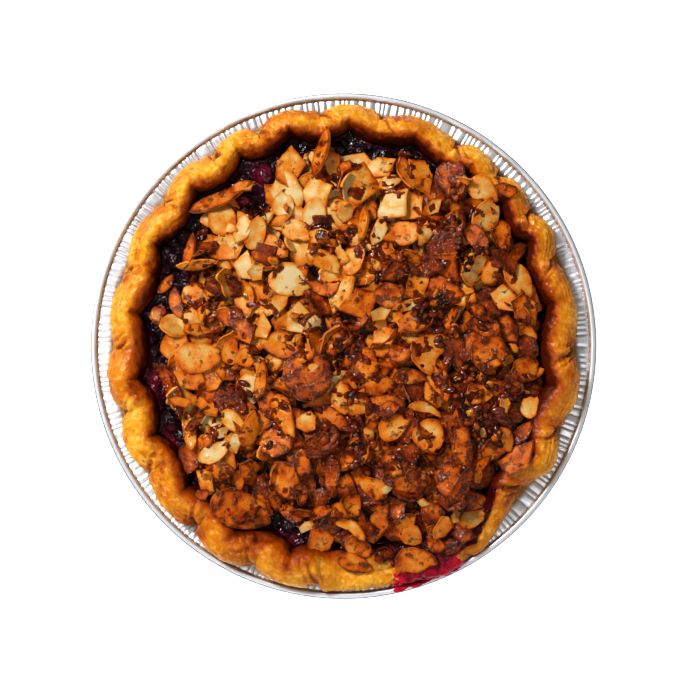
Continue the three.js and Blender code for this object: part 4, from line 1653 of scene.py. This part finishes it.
@dataclass
class AlmondTopping:
    """The topping: a core of crumbs, slices laid on it, and seeds and caramel between them."""

    photo: PhotoFrame
    case: PastryCase
    filling: BerryFilling
    berries: list[str]
    heap: Heap = field(default_factory=Heap)
    shapes: AlmondShapes = field(default_factory=AlmondShapes)
    bed_slices: int = 430
    # The highest that anything of the topping stands, and how far under that it starts to be eased down.
    ceiling: float = 43.1
    ease: float = 1.0
    slice_height: float = 38.0
    seed: int = 21
    core_angles: int = 300
    core_rows: int = 90
    core_depth: float = 3.0
    glaze_depth: float = 0.5
    glaze_bare: float = 0.3

    def landmarks(self) -> list[Slice]:
        """The slices that stand out in the photograph, lowest first, placed by pixel."""
        o, h, c, s = Cut.OVAL, Cut.HALF, Cut.CHIP, Cut.SLIVER
        # Column, row, length, width, heading, cut, tone, and for some the tilt and its direction.
        rows = [
            # back left
            (283, 203, 9, 7, 80, o, 0.04), (278, 221, 9, 4, 25, c, 0.28), (257, 272, 6, 5, 30, c, 0.1),
            (244, 266, 9.5, 8.5, 80, c, 0.07), (221, 216, 13, 9, 95, o, 0.22), (243, 228, 11, 6, 70, c, 0.1),
            (256, 231, 13, 6.5, 75, o, 0.2), (219, 199, 23, 6, 24, s, 0.55, 38, -66),
            (244, 185, 8, 4, 20, c, 0.4), (290, 166, 14, 9, 75, c, 0.33), (331, 165, 12, 8, 110, c, 0.36),
            (322, 152, 17, 6, 76, s, 0.48, 48, -15), (317, 192, 11, 10, 92, c, 0.18, 12, 0),
            (298, 231, 11, 7, -20, o, 0.33), (320, 236, 7, 5, 10, c, 0.22), (266, 256, 9, 9, 110, c, 0.64),
            (291, 281, 14, 11, -20, o, 0.08), (279, 303, 9, 7, 60, h, 0.2), (300, 318, 11, 9, 80, c, 0.08),
            (312, 322, 9, 6, 45, c, 0.1), (228, 286, 15, 8, -12, o, 0.8), (193, 294, 10, 8, -15, c, 0.32),
            (190, 252, 12, 4, 75, s, 0.6, 35, 0), (196, 266, 13, 4, 8, s, 0.3, 40, 90),
            (207, 247, 9, 4, 10, c, 0.78), (165, 284, 8, 3.5, 50, s, 0.62),
            (175, 303, 12, 4.5, -75, s, 0.58), (197, 329, 10.5, 4.5, -12, c, 0.33),
            (212, 313, 7, 4, 45, c, 0.36), (233, 321, 12, 10, -40, h, 0.62), (245, 331, 8, 8, 5, c, 0.52),
            (263, 326, 9, 5, 80, c, 0.18), (328, 262, 15, 6, -25, o, 0.28),
            # front left
            (176, 347, 12, 10, -40, o, 0.33), (200, 357, 17, 10, 8, o, 0.32), (213, 382, 7, 5.5, 70, c, 0.4),
            (190, 377, 13, 8, -35, o, 0.42), (171, 389, 21, 7.5, -63, h, 0.7, 18, 30),
            (181, 402, 8, 3.5, -10, c, 0.42), (245, 357, 7, 6.5, 70, c, 0.42),
            (262, 380, 13, 4.5, 80, s, 0.52, 30, 0), (250, 384, 8, 6, -30, c, 0.12),
            (232, 405, 14, 8, -35, o, 0.84), (235, 422, 11, 6, -35, o, 0.2), (211, 423, 9.5, 6, 20, o, 0.1),
            (219, 434, 8, 3.5, 28, c, 0.12), (206, 441, 6, 5, 0, c, 0.52), (215, 452, 12, 6, 30, o, 0.08),
            (236, 441, 9, 4, 75, c, 0.1), (251, 428, 13, 6, 70, o, 0.45),
            (197, 419, 11, 3, 50, s, 0.66, 30, 140), (284, 417, 16, 6.5, -68, o, 0.33),
            (307, 422, 8, 7, 30, c, 0.26), (323, 443, 15, 9, 15, c, 0.86), (331, 472, 12, 8, -70, h, 0.6),
            (300, 462, 13, 7, -60, o, 0.6), (286, 482, 14, 9.5, -60, o, 0.52),
            (302, 493, 8, 5, -70, h, 0.56), (205, 482, 9, 5, -60, c, 0.28), (220, 471, 10, 7, -5, o, 0.48),
            (250, 468, 8, 7, 0, c, 0.56), (202, 495, 5, 4, 10, c, 0.58), (244, 511, 24, 12, -14, o, 0.55),
            (320, 541, 10, 9, 80, c, 0.46), (307, 527, 7, 3.2, 40, c, 0.12), (323, 511, 10, 4, 25, o, 0.58),
            (343, 510, 8, 6, 10, c, 0.55), (311, 375, 18, 16, 10, o, 0.64),
            # back right
            (380, 167, 11.5, 7, 20, c, 0.2), (391, 181, 8, 4.5, 20, o, 0.06),
            (391, 207, 14, 11, 40, c, 0.06), (379, 231, 10, 5, 70, c, 0.1), (346, 211, 8, 6, 40, c, 0.2),
            (359, 183, 15, 13, 60, c, 0.3), (363, 225, 13, 4, 80, s, 0.38, 45, 0),
            (354, 258, 12, 7, 65, o, 0.3), (408, 233, 11, 8, 10, o, 0.36), (424, 237, 8.5, 6, 70, c, 0.28),
            (434, 206, 7, 4, 35, c, 0.22), (421, 176, 13, 8, -75, c, 0.38), (453, 181, 16, 10, -70, o, 0.7),
            (444, 243, 24, 9.5, 62, o, 0.88), (484, 191, 12, 8, -45, o, 0.22),
            (507, 190, 8, 5, -15, c, 0.62), (487, 214, 13, 8.5, 60, o, 0.26), (479, 241, 14, 6, -55, o, 0.6),
            (502, 237, 12, 6.5, -80, o, 0.56), (512, 256, 12, 7, 60, h, 0.72),
            (491, 271, 10, 5, 70, o, 0.33), (520, 281, 14, 8, -60, o, 0.3), (506, 300, 11, 7, -50, c, 0.22),
            (527, 309, 12, 9, -60, c, 0.48), (444, 291, 14, 9, -20, o, 0.58),
            (484, 309, 14, 8, -35, o, 0.78), (402, 271, 13, 9, 10, h, 0.72), (387, 255, 7, 6, -30, c, 0.38),
            (409, 305, 11, 4, 15, c, 0.18), (392, 297, 12, 8, -20, o, 0.58), (381, 313, 8, 4, 20, c, 0.12),
            (357, 305, 14, 12, 20, c, 0.48), (385, 336, 9, 6, 10, c, 0.33),
            # front right
            (361, 367, 12.5, 8.5, -3, c, 0.43), (409, 377, 12, 7, 8, h, 0.53), (390, 408, 9, 5, 35, o, 0.7),
            (358, 406, 10, 10, 60, c, 0.38), (430, 437, 12, 10, -60, o, 0.33),
            (425, 409, 12, 5, -15, h, 0.36), (429, 392, 9, 4.5, -70, c, 0.48),
            (395, 424, 12.5, 8, 42, o, 0.36), (367, 433, 7, 5, -60, c, 0.38), (361, 448, 9, 8, -50, h, 0.5),
            (403, 458, 15, 10, 30, c, 0.64), (420, 478, 10, 6, -25, o, 0.6),
            (478, 396, 9.5, 8, -10, c, 0.46), (490, 356, 14, 12, -60, o, 0.5),
            (526, 369, 10, 9, 20, c, 0.46), (504, 403, 7, 3.5, 80, c, 0.18), (531, 405, 9, 6, 75, o, 0.2),
            (524, 432, 9, 5, 50, o, 0.66), (505, 440, 9, 6, -60, o, 0.4),
            (519, 458, 15, 8, 40, c, 0.5, 0, 0), (449, 483, 14, 9, -75, o, 0.6),
            (461, 488, 16, 5.5, 58, s, 0.68, 28, 140), (478, 475, 7, 3.5, 75, c, 0.48),
            (462, 444, 20, 7, 92, o, 0.6), (465, 519, 10, 7, 20, o, 0.28), (476, 502, 10, 6, 0, o, 0.48),
            (434, 514, 9, 7, -20, o, 0.58), (406, 523, 8, 7.5, 30, c, 0.52), (412, 537, 8, 7, -40, o, 0.33),
            (433, 530, 4.5, 4, 10, c, 0.48), (415, 560, 14, 10, 15, h, 0.46), (379, 521, 12, 7, 60, c, 0.52),
            (352, 504, 8, 8, 30, c, 0.52), (360, 548, 11, 7, -30, o, 0.48), (353, 527, 11, 5, -30, h, 0.28),
            (356, 565, 12, 6, -20, o, 0.48), (384, 556, 7, 5, 0, c, 0.88), (386, 489, 5, 3, 10, c, 0.14),
            (421, 502, 5, 3, -25, c, 0.18), (452, 547, 9, 6, 20, c, 0.86), (463, 534, 9, 6, -25, c, 0.74),
            (443, 528, 9, 6, 60, c, 0.36), (474, 519, 10, 5.5, 22, o, 0.24), (436, 545, 8, 6, -50, c, 0.6),
            (468, 502, 9, 6, 50, c, 0.66),
        ]  # fmt: skip
        rng = np.random.default_rng(self.seed)
        leans = [row[7:] if len(row) > 7 else (rng.uniform(3, 17), rng.uniform(0, 360)) for row in rows]
        spots = [self.photo.place(row[:2], self.slice_height) for row in rows]
        return [Slice(*spot, *row[2:7], *lean) for spot, row, lean in zip(spots, rows, leans)]

    def bed_tone(self, x: float, y: float, rng: np.random.Generator) -> float:
        """How dark a slice of the bed baked: creamier at the back left, browner at the front right."""
        base = 0.47 + 0.0052 * (0.62 * x - 0.78 * y)
        return float(np.clip(base + rng.normal(0, 0.18), 0.02, 0.95))

    def bed(self, land: LieOfTheHeap, rng: np.random.Generator) -> Iterator[Slice]:
        """Chooses the next slices of the bed, wherever the heap is lowest.

        Args:
            land: The height map so far.
            rng: The random draw.

        Yields:
            One slice at a time, so that each is laid before the next is chosen.
        """
        for _ in range(self.bed_slices):
            best = None
            for _ in range(14):
                turn, out = rng.uniform(0, 2 * math.pi), math.sqrt(rng.random()) * 67
                x, y = out * math.cos(turn), out * math.sin(turn)
                i, j = np.searchsorted(land.axis, (x, y))
                patch = slice(i - 5, i + 6), slice(j - 5, j + 6)
                if land.share[i, j] > 0.97:
                    continue
                lack = float(np.mean(land.target[patch] - land.height[patch]))
                if best is None or lack > best[0]:
                    best = (lack, x, y)
            _, x, y = best
            cut = rng.choice([Cut.OVAL, Cut.OVAL, Cut.HALF, Cut.HALF, Cut.CHIP, Cut.CHIP, Cut.SLIVER])
            length = rng.uniform(8.5, 15)
            width = length * rng.uniform(0.5, 0.85) * (0.5 if cut is Cut.SLIVER else 1)
            tilt = abs(rng.normal(0, 14)) if rng.random() < 0.8 else rng.uniform(28, 60)
            heading, tone = rng.uniform(0, 360), self.bed_tone(x, y, rng)
            yield Slice(x, y, length, width, heading, cut, tone, tilt, rng.uniform(0, 360))

    def set_out(self, tree: NodeTree, shapes: NodeSocket, turn: Node, **rest: Node | NodeSocket) -> Node:
        """Adds the nodes that set a shape on every point.

        Args:
            tree: The Geometry Nodes tree.
            shapes: The shelf that each shape is picked from.
            turn: How it is turned.
            **rest: The points, the scale, and for some the number on the shelf.

        Returns:
            The last of the nodes.
        """
        return add_node(
            tree,
            "GeometryNodeInstanceOnPoints",
            Instance=add_node(tree, "GeometryNodeCollectionInfo", shapes, True, True),
            Pick_Instance=True,
            Rotation=add_node(tree, "FunctionNodeEulerToRotation", turn),
            **rest,
        )

    def set_slices(self, tree: NodeTree, source: NodeOutputs) -> Node:
        """Adds the nodes that set a slice on every point and roughen it.

        Args:
            tree: The Geometry Nodes tree.
            source: Its inputs.

        Returns:
            The last of the nodes.
        """
        turn, size, kind = (
            add_node(tree, "GeometryNodeInputNamedAttribute", name, data_type=data)
            for name, data in (("turn", "FLOAT_VECTOR"), ("size", "FLOAT_VECTOR"), ("kind", "INT"))
        )
        laid = self.set_out(
            tree, source["Shapes"], turn, Points=source["Geometry"], Scale=size, Instance_Index=kind
        )
        real = add_node(tree, "GeometryNodeRealizeInstances", laid)
        scale = add_node(tree, "Math.DIVIDE", 1 / MM, source["Ripple size"])
        noise = add_node(tree, "TexNoise", W=source["Seed"], Scale=scale, Detail=2.0, noise_dimensions="4D")
        swing = add_node(tree, "Math.MULTIPLY_ADD", noise, 2.0, -1.0)
        for factor in (source["Ripple height"], MM):
            swing = add_node(tree, "Math.MULTIPLY", swing, factor)
        normal = add_node(tree, "GeometryNodeInputNormal")
        shift = add_node(tree, "VectorMath.SCALE", normal, swing)
        return add_node(tree, "GeometryNodeSetPosition", real, Offset=shift)

    def lay_slices(
        self,
        name: str,
        slices: Iterable[Slice],
        land: LieOfTheHeap,
        material: Material,
        rng: np.random.Generator,
    ) -> Object:
        """Lays slices on the heap and makes one piece of them.

        Args:
            name: The piece's name.
            slices: The slices, lowest first.
            land: The height map, which they are added to.
            material: Their finish.
            rng: The random draw.

        Returns:
            The piece.
        """
        rows = []
        for piece in slices:
            middle, turn = land.lay(piece, self.shapes.thickness, self.ceiling)
            size = (piece.length / self.shapes.length, piece.width / self.shapes.width, 1.0)
            rows.append((middle, tuple(turn.to_euler()), size, self.shapes.pick(piece.cut, rng), piece.tone))
        middles, *traits = (np.array(column) for column in zip(*rows))
        piece = new_piece(name, middles, [], dict(zip(("turn", "size", "kind", "tone"), traits)))
        shelf = self.shapes.shelf()
        values = {"Shapes": shelf, "Ripple height": 0.14, "Ripple size": 2.6, "Seed": self.seed}
        grow(piece, "laid slices", self.set_slices, {**values, "Material": material})
        clear_shelf(shelf)
        piece.data.shade_smooth()
        piece.data.set_sharp_from_angle(angle=math.radians(48))
        self.press(piece)
        return settle(piece, "almond")

    def core(self) -> Object:
        """The core of crumbs and caramel under the slices.

        Returns:
            The piece, which stands for the topping's solid.
        """
        degrees = np.arange(self.core_angles) / self.core_angles * 360
        turn = np.radians(degrees)[:, None]
        reach = self.heap.reach(degrees, self.case)[:, None]
        share = np.linspace(0.985, 0, self.core_rows)[None, :]
        x, y = reach * share * np.cos(turn), reach * share * np.sin(turn)
        plain = positions(x, y)
        top, _ = self.heap.top(x, y, self.case, self.filling)
        crumbs = 0.7 * layered_noise(plain, 4.0, 83) + 0.45 * layered_noise(plain, 1.5, 89)
        ground = self.filling.height(np.hypot(x, y)) + 0.5
        z = np.maximum(top - self.core_depth + crumbs - 1.2 * smoothstep(share, 0.9, 1.0), ground)
        under = positions(x, y, ground)[:, ::-1][:, ::9]
        tone = 0.62 + 0.3 * layered_noise(plain, 6.0, 97)
        tone = np.pad(tone, ((0, 0), (under.shape[1], 0)), mode="edge")
        core = turned_piece("crumb_core", np.concatenate([under, positions(x, y, z)], axis=1), {"tone": tone})
        crumb = SetCaramel(
            "baked crumb core", stops=((0.0, "#8a4a1e"), (1.0, "#1c0705")), patches=(1.6, 4.0, 0.6)
        )
        return settle(core, "almond", "almond_topping", finish=crumb)

    def strew(self, tree: NodeTree, source: NodeOutputs) -> Node:
        """Adds the nodes that scatter small things, thickest where the trait thick says.

        Args:
            tree: The Geometry Nodes tree.
            source: Its inputs.

        Returns:
            The last of the nodes.
        """
        seed = source["Seed"]
        density = add_node(tree, "GeometryNodeInputNamedAttribute", "thick")
        for factor in (source["Most per square cm"], CM_PER_M**2):
            density = add_node(tree, "Math.MULTIPLY", density, factor)
        strewn = add_node(
            tree, "GeometryNodeDistributePointsOnFaces", source["Geometry"], Density=density, Seed=seed
        )
        tone = add_node(tree, "FunctionNodeRandomValue", source["Lightest"], source["Darkest"], Seed=seed)
        points = add_node(tree, "GeometryNodeStoreNamedAttribute", strewn, Name="tone", Value=tone)
        second, third = (add_node(tree, "Math.ADD", seed, step) for step in (1.0, 2.0))
        size = add_node(tree, "FunctionNodeRandomValue", source["Smallest"], source["Largest"], Seed=second)
        turned = (-1, -1, -math.pi), (1, 1, math.pi)
        turn = add_node(tree, "FunctionNodeRandomValue", *turned, Seed=third, data_type="FLOAT_VECTOR")
        tumble = add_node(tree, "CombineXYZ", source["Tumble"], source["Tumble"], 1.0)
        turn = add_node(tree, "VectorMath.MULTIPLY", turn, tumble)
        return self.set_out(tree, source["Shapes"], turn, Points=points, Scale=size)

    def land_piece(self, name: str, land: LieOfTheHeap, thick: Array) -> Object:
        """The top of the heap as a surface to scatter on.

        Args:
            name: The piece's name.
            land: The height map.
            thick: How thickly things lie, from 0 to 1, in each cell of the map.

        Returns:
            The piece.
        """
        skip = 2
        x, y, z, level = (grid[::skip, ::skip] for grid in (land.x, land.y, land.height, thick))
        rows, columns = x.shape
        i, j = np.meshgrid(np.arange(rows - 1), np.arange(columns - 1), indexing="ij")
        a = i * columns + j
        faces = np.stack([a, a + columns, a + columns + 1, a + 1], axis=-1)
        keep = (level[i, j] > 0.01).ravel()
        faces = faces.reshape(-1, 4)[keep].tolist()
        return new_piece(name, positions(x, y, z).reshape(-1, 3), faces, {"thick": level.ravel()})

    def clusters(self, land: LieOfTheHeap, spots: Spots, base: float, fill: float) -> Array:
        """How thickly crumbs lie: everywhere a little, and thickly round some spots.

        Args:
            land: The height map.
            spots: Column, row and radius of each cluster, in pixels of the photograph.
            base: How thickly they lie elsewhere.
            fill: How thickly they lie in hollows of the heap.

        Returns:
            A value from 0 to 1 in each cell.
        """
        flat = positions(land.x, land.y)
        thick = base * smoothstep(layered_noise(flat, 9.0, 101), -0.2, 0.7)
        for column, row, size in spots:
            x, y = self.photo.place((column, row), self.slice_height)
            away = np.hypot(land.x - x, land.y - y) / (size * self.photo.mm_per_pixel)
            thick = np.maximum(thick, np.exp(-(away**2)))
        hollow = smoothstep(land.target - land.height, 0.3, 1.6)
        return np.maximum(thick, fill * hollow) * (land.share < 0.98)

    def glaze(self, land: LieOfTheHeap, spots: Spots) -> Object:
        """The caramel that ran over the slices and pooled between them.

        Args:
            land: The height map, which it drapes over.
            spots: Column, row and radius of the thick places, in pixels of the photograph.

        Returns:
            The piece.
        """
        flat = positions(land.x, land.y)
        base = land.height
        for _ in range(2):
            base = (base + sum(np.roll(base, shift, axis) for shift in (-1, 1) for axis in (0, 1))) / 5
        thick = self.clusters(land, spots, 0.3, 0.3)
        swirl = layered_noise(flat, 5.0, 113)
        amount = swirl + 0.9 * thick + 0.35 * layered_noise(flat, 1.6, 127) - self.glaze_bare
        amount *= land.share < 0.97
        depth = self.glaze_depth * smoothstep(amount, 0.0, 0.5)
        z = np.minimum(base + depth - 0.12, self.ceiling)
        top = positions(land.x, land.y, z).transpose(1, 0, 2)
        # Partly painted shade: the caramel is darkest where it lies thick in the hollows between slices.
        traits = {"depth": (0.15 + 0.6 * smoothstep(amount, 0.0, 0.8)).T}
        film = film_piece("caramel_glaze", top, (base - 0.6).T, (amount > 0).T, traits)
        return settle(film, "almond", finish=CaramelGlaze("caramel glaze"))

    def lumps(self, name: str, shape: tuple[float, float, float], count: int, rough: float) -> Collection:
        """A shelf of small uneven lumps.

        Args:
            name: The shelf's name.
            shape: Half length, half width and half height.
            count: How many.
            rough: How uneven they are.

        Returns:
            The shelf.
        """
        rng = np.random.default_rng(len(name))
        made = []
        for k in range(count):
            uneven = 1 + rough * rng.uniform(-1, 1, (7, 5, 1))
            uneven[:, [0, -1]] = 1
            made.append(turned_piece(f"{name}_{k}", ball(5, 7) * uneven * shape))
        return shelve(made, name)

    def scatter(
        self, name: str, land: LieOfTheHeap, thick: Array, shelf: Collection, values: Inputs
    ) -> Object:
        """Scatters small things over the heap and makes one piece of them.

        Args:
            name: The piece's name.
            land: The height map.
            thick: How thickly they lie in each cell.
            shelf: The shapes to pick from.
            values: The tree's other inputs.

        Returns:
            The piece.
        """
        piece = self.land_piece(name, land, thick)
        grow(piece, f"scattered {name}", self.strew, {"Shapes": shelf, **values})
        clear_shelf(shelf)
        piece.data.shade_smooth()
        self.press(piece)
        return settle(piece, "almond")

    def press(self, piece: Object) -> None:
        """Eases whatever stands above the heap's top down to just under it.

        Args:
            piece: The piece.
        """
        points = np.empty(3 * len(piece.data.vertices))
        piece.data.vertices.foreach_get("co", points)
        height, start, ease = points[2::3], (self.ceiling - self.ease) * MM, self.ease * MM
        height[:] = np.minimum(height, start) + ease * np.tanh(np.maximum(height - start, 0) / ease)
        piece.data.vertices.foreach_set("co", points)
        piece.data.update()

    def build(self) -> None:
        """Builds the core, the slices and what is scattered between them."""
        rng = np.random.default_rng(self.seed)
        land = LieOfTheHeap(self.case, self.filling, self.heap, self.berries)
        almond = CaramelAlmond("sliced almond in caramel").material()
        self.core()
        self.lay_slices("almond_bed", self.bed(land, rng), land, almond, rng)
        grit_spots = [
            (327, 240, 16), (345, 235, 10), (390, 268, 14), (400, 280, 10), (432, 318, 16), (448, 330, 12),
            (475, 385, 14), (470, 410, 18), (485, 430, 18), (440, 300, 10), (402, 462, 12), (360, 445, 12),
            (357, 150, 7), (300, 318, 6), (280, 255, 8), (205, 305, 8), (470, 250, 14), (515, 400, 12),
            (370, 455, 10), (345, 345, 14), (300, 345, 12), (455, 190, 8), (510, 190, 8), (352, 395, 8),
        ]  # fmt: skip
        seed_spots = [
            (323, 245, 9), (430, 320, 12), (470, 375, 12), (485, 425, 16), (340, 215, 7), (385, 270, 8),
            (505, 395, 8), (480, 330, 10), (455, 400, 8), (360, 460, 8), (400, 465, 8), (228, 212, 6),
            (240, 210, 5), (290, 350, 6), (278, 430, 5), (325, 430, 6), (345, 420, 6), (440, 345, 8),
        ]  # fmt: skip
        self.lay_slices("almond_slices", self.landmarks(), land, almond, rng)
        self.glaze(land, grit_spots)
        grit = SetCaramel("set caramel grains").material()
        seed = PlainSeed("linseed hull").material()
        # Name, spots, how thickly it lies elsewhere and in hollows, its shapes, and the tree's inputs.
        kinds = [
            ("caramel_grains", grit_spots, 0.06, 0.25, ("grain", (1.3, 0.95, 0.55), 8, 0.42),
             13.0, 0.4, 1.6, 0.9, 0.0, 3.0, 5, grit),
            ("almond_bits", grit_spots, 0.08, 0.7, ("almond_bit", (1.3, 0.9, 0.3), 6, 0.3),
             5.0, 0.8, 2.3, 0.95, 0.3, 1.0, 9, almond),
            ("linseeds", seed_spots, 0.03, 0.0, ("linseed", (2.5, 1.2, 0.75), 3, 0.03),
             7.0, 0.8, 1.1, 1.0, 0.0, 0.35, 14, seed),
        ]  # fmt: skip
        labels = (
            "Most per square cm", "Smallest", "Largest", "Darkest", "Lightest", "Tumble", "Seed", "Material",
        )  # fmt: skip
        for name, spots, base, fill, lump, *values in kinds:
            thick = self.clusters(land, spots, base, fill)
            self.scatter(name, land, thick, self.lumps(*lump), dict(zip(labels, values)))


@dataclass
class JuiceRun:
    """The juice that boiled over the sunken edge and dried on the flange and rim."""

    start: float = 262.0
    end: float = 322.0
    film: float = 0.8
    stand_off: float = 0.45
    # The angles between which it does each of these: where it starts, is full, fades and ends.
    hang: tuple[float, ...] = (280, 283, 301, 304)
    over_rim: tuple[float, ...] = (280, 286, 295, 301)
    beside: tuple[float, ...] = (288, 294, 316, 320)
    streaks: tuple[float, ...] = (264, 270, 280, 286)
    angle_steps: int = 260
    radius_steps: int = 70
    inner_radius: float = 64.0
    outer_radius: float = 82.2
    name: str = "juice_run"

    def build(self, case: PastryCase, tin: FoilTin) -> Object:
        """Builds the film of juice.

        Args:
            case: The pastry it ran over.
            tin: The tin it ran onto.

        Returns:
            The piece.
        """
        degrees = np.linspace(self.start, self.end, self.angle_steps)[:, None]
        radius = np.linspace(self.inner_radius, self.outer_radius, self.radius_steps)[None, :]
        turn = np.radians(degrees)
        edge = case.edge(degrees[:, 0])
        dough = case.surface(degrees[:, 0])[0]
        section = np.stack([np.hypot(dough[..., 0], dough[..., 1]), dough[..., 2]], axis=-1)
        ground = np.zeros((self.angle_steps, self.radius_steps))
        bare = np.zeros((self.angle_steps, self.radius_steps), bool)
        flange = np.full(self.radius_steps, tin.flange_height + 0.2)
        out = radius[0]
        bead = tin.rim_radius - tin.bead_radius
        flange -= 0.55 * np.exp(-(((out - tin.groove_radius) / 0.35) ** 2))
        hump = np.sqrt(np.maximum(tin.bead_radius**2 - (out - bead) ** 2, 0))
        over_bead = np.maximum(flange, tin.flange_height + 0.5 + hump)
        flange = np.where(out > bead - tin.bead_radius, over_bead, flange)
        # Where it ran over the edge, it hangs clear of the flank.
        hangs = self.stand_off * band(degrees[:, 0], *self.hang)
        for k in range(self.angle_steps):
            crown = int(np.argmax(section[k, :, 1]))
            brink = int(np.argmax(section[k, :, 0]))
            flank = section[k, brink : crown + 1][::-1]
            inside = section[k, crown:][::-1]
            over = np.interp(out - hangs[k], np.maximum.accumulate(flank[:, 0]), flank[:, 1], right=0)
            into = np.interp(out, np.maximum.accumulate(inside[:, 0]), inside[:, 1], left=case.lip)
            pastry = np.where(out > section[k, crown, 0], over, into)
            ground[k] = np.maximum(flange, pastry)
            bare[k] = flange > pastry
        flat = spin(radius, turn, 0.0)
        wander = layered_noise(flat, 5.0, 107) + 0.6 * layered_noise(flat, 1.8, 109)
        # It ran over the rim between two angles, and wet the dough beside it.
        fine = layered_noise(flat, 1.1, 113)
        bearing = degrees + 2.6 * wander + 1.6 * fine
        over_rim = band(bearing, *self.over_rim) * smoothstep(radius + 1.5 * wander, 65, 68)
        over_rim = over_rim * fall(radius - wander - 0.5 * fine, 81.4, 82.2)
        strip = edge.outer[:, None] - np.interp(degrees, (300, 317), (3, 6.5))
        beside = band(bearing, *self.beside) * fall(radius + 1.1 * wander - strip, -1.2, 0.6)
        streaks = band(degrees, *self.streaks) * np.exp(-(((radius - tin.groove_radius) / 0.8) ** 2))
        streaks = streaks * smoothstep(wander, 0.0, 0.3)
        wet = np.maximum(np.maximum(over_rim, beside), 0.5 * streaks)
        depth = self.film * (smoothstep(wet, 0.1, 0.6) * 1.5 - 0.5) + 0.3 * wander * wet
        z = ground + np.where(bare, 0.5, 1.0) * depth
        spread = 0.85 * smoothstep(radius, 74, 79)
        shallow = (1.0 - 1.1 * smoothstep(wet, 0.25, 0.9)) * (0.4 + 0.6 * smoothstep(radius, 70, 76))
        thin = (shallow + spread + 0.3 * wander) * (1 - 0.75 * smoothstep(degrees, 301, 307))
        under = np.minimum(ground, z) - 0.25
        run = film_piece(self.name, spin(radius, turn, z), under, wet > 0.04, {"thin": np.clip(thin, 0, 1)})
        return settle(run, "jam", finish=SpiltJuice("dried berry juice"))


def corners(box: tuple[Vector, Vector]) -> list[list[float]]:
    """A box as plain lists of numbers."""
    return [list(corner) for corner in box]


def main() -> None:
    """Builds the pie over its frame."""
    logging.basicConfig(level=logging.INFO, format="%(message)s")
    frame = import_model()
    cad_box = corners(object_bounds())
    photo = PhotoFrame()
    photo.build()
    Studio().build()
    tin = FoilTin()
    tin.build()
    case = PastryCase()
    case.build()
    filling = BerryFilling()
    filling.build(case)
    berries = sorted(node for node in frame["nodes"] if node.startswith("berry_"))
    WholeBerries().build(berries)
    AlmondTopping(photo, case, filling, berries).build()
    JuiceRun().build(case, tin)
    bpy.context.view_layer.update()
    {"cad": cad_box, "visual": corners(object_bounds())}


if __name__ == "__main__":
    main()
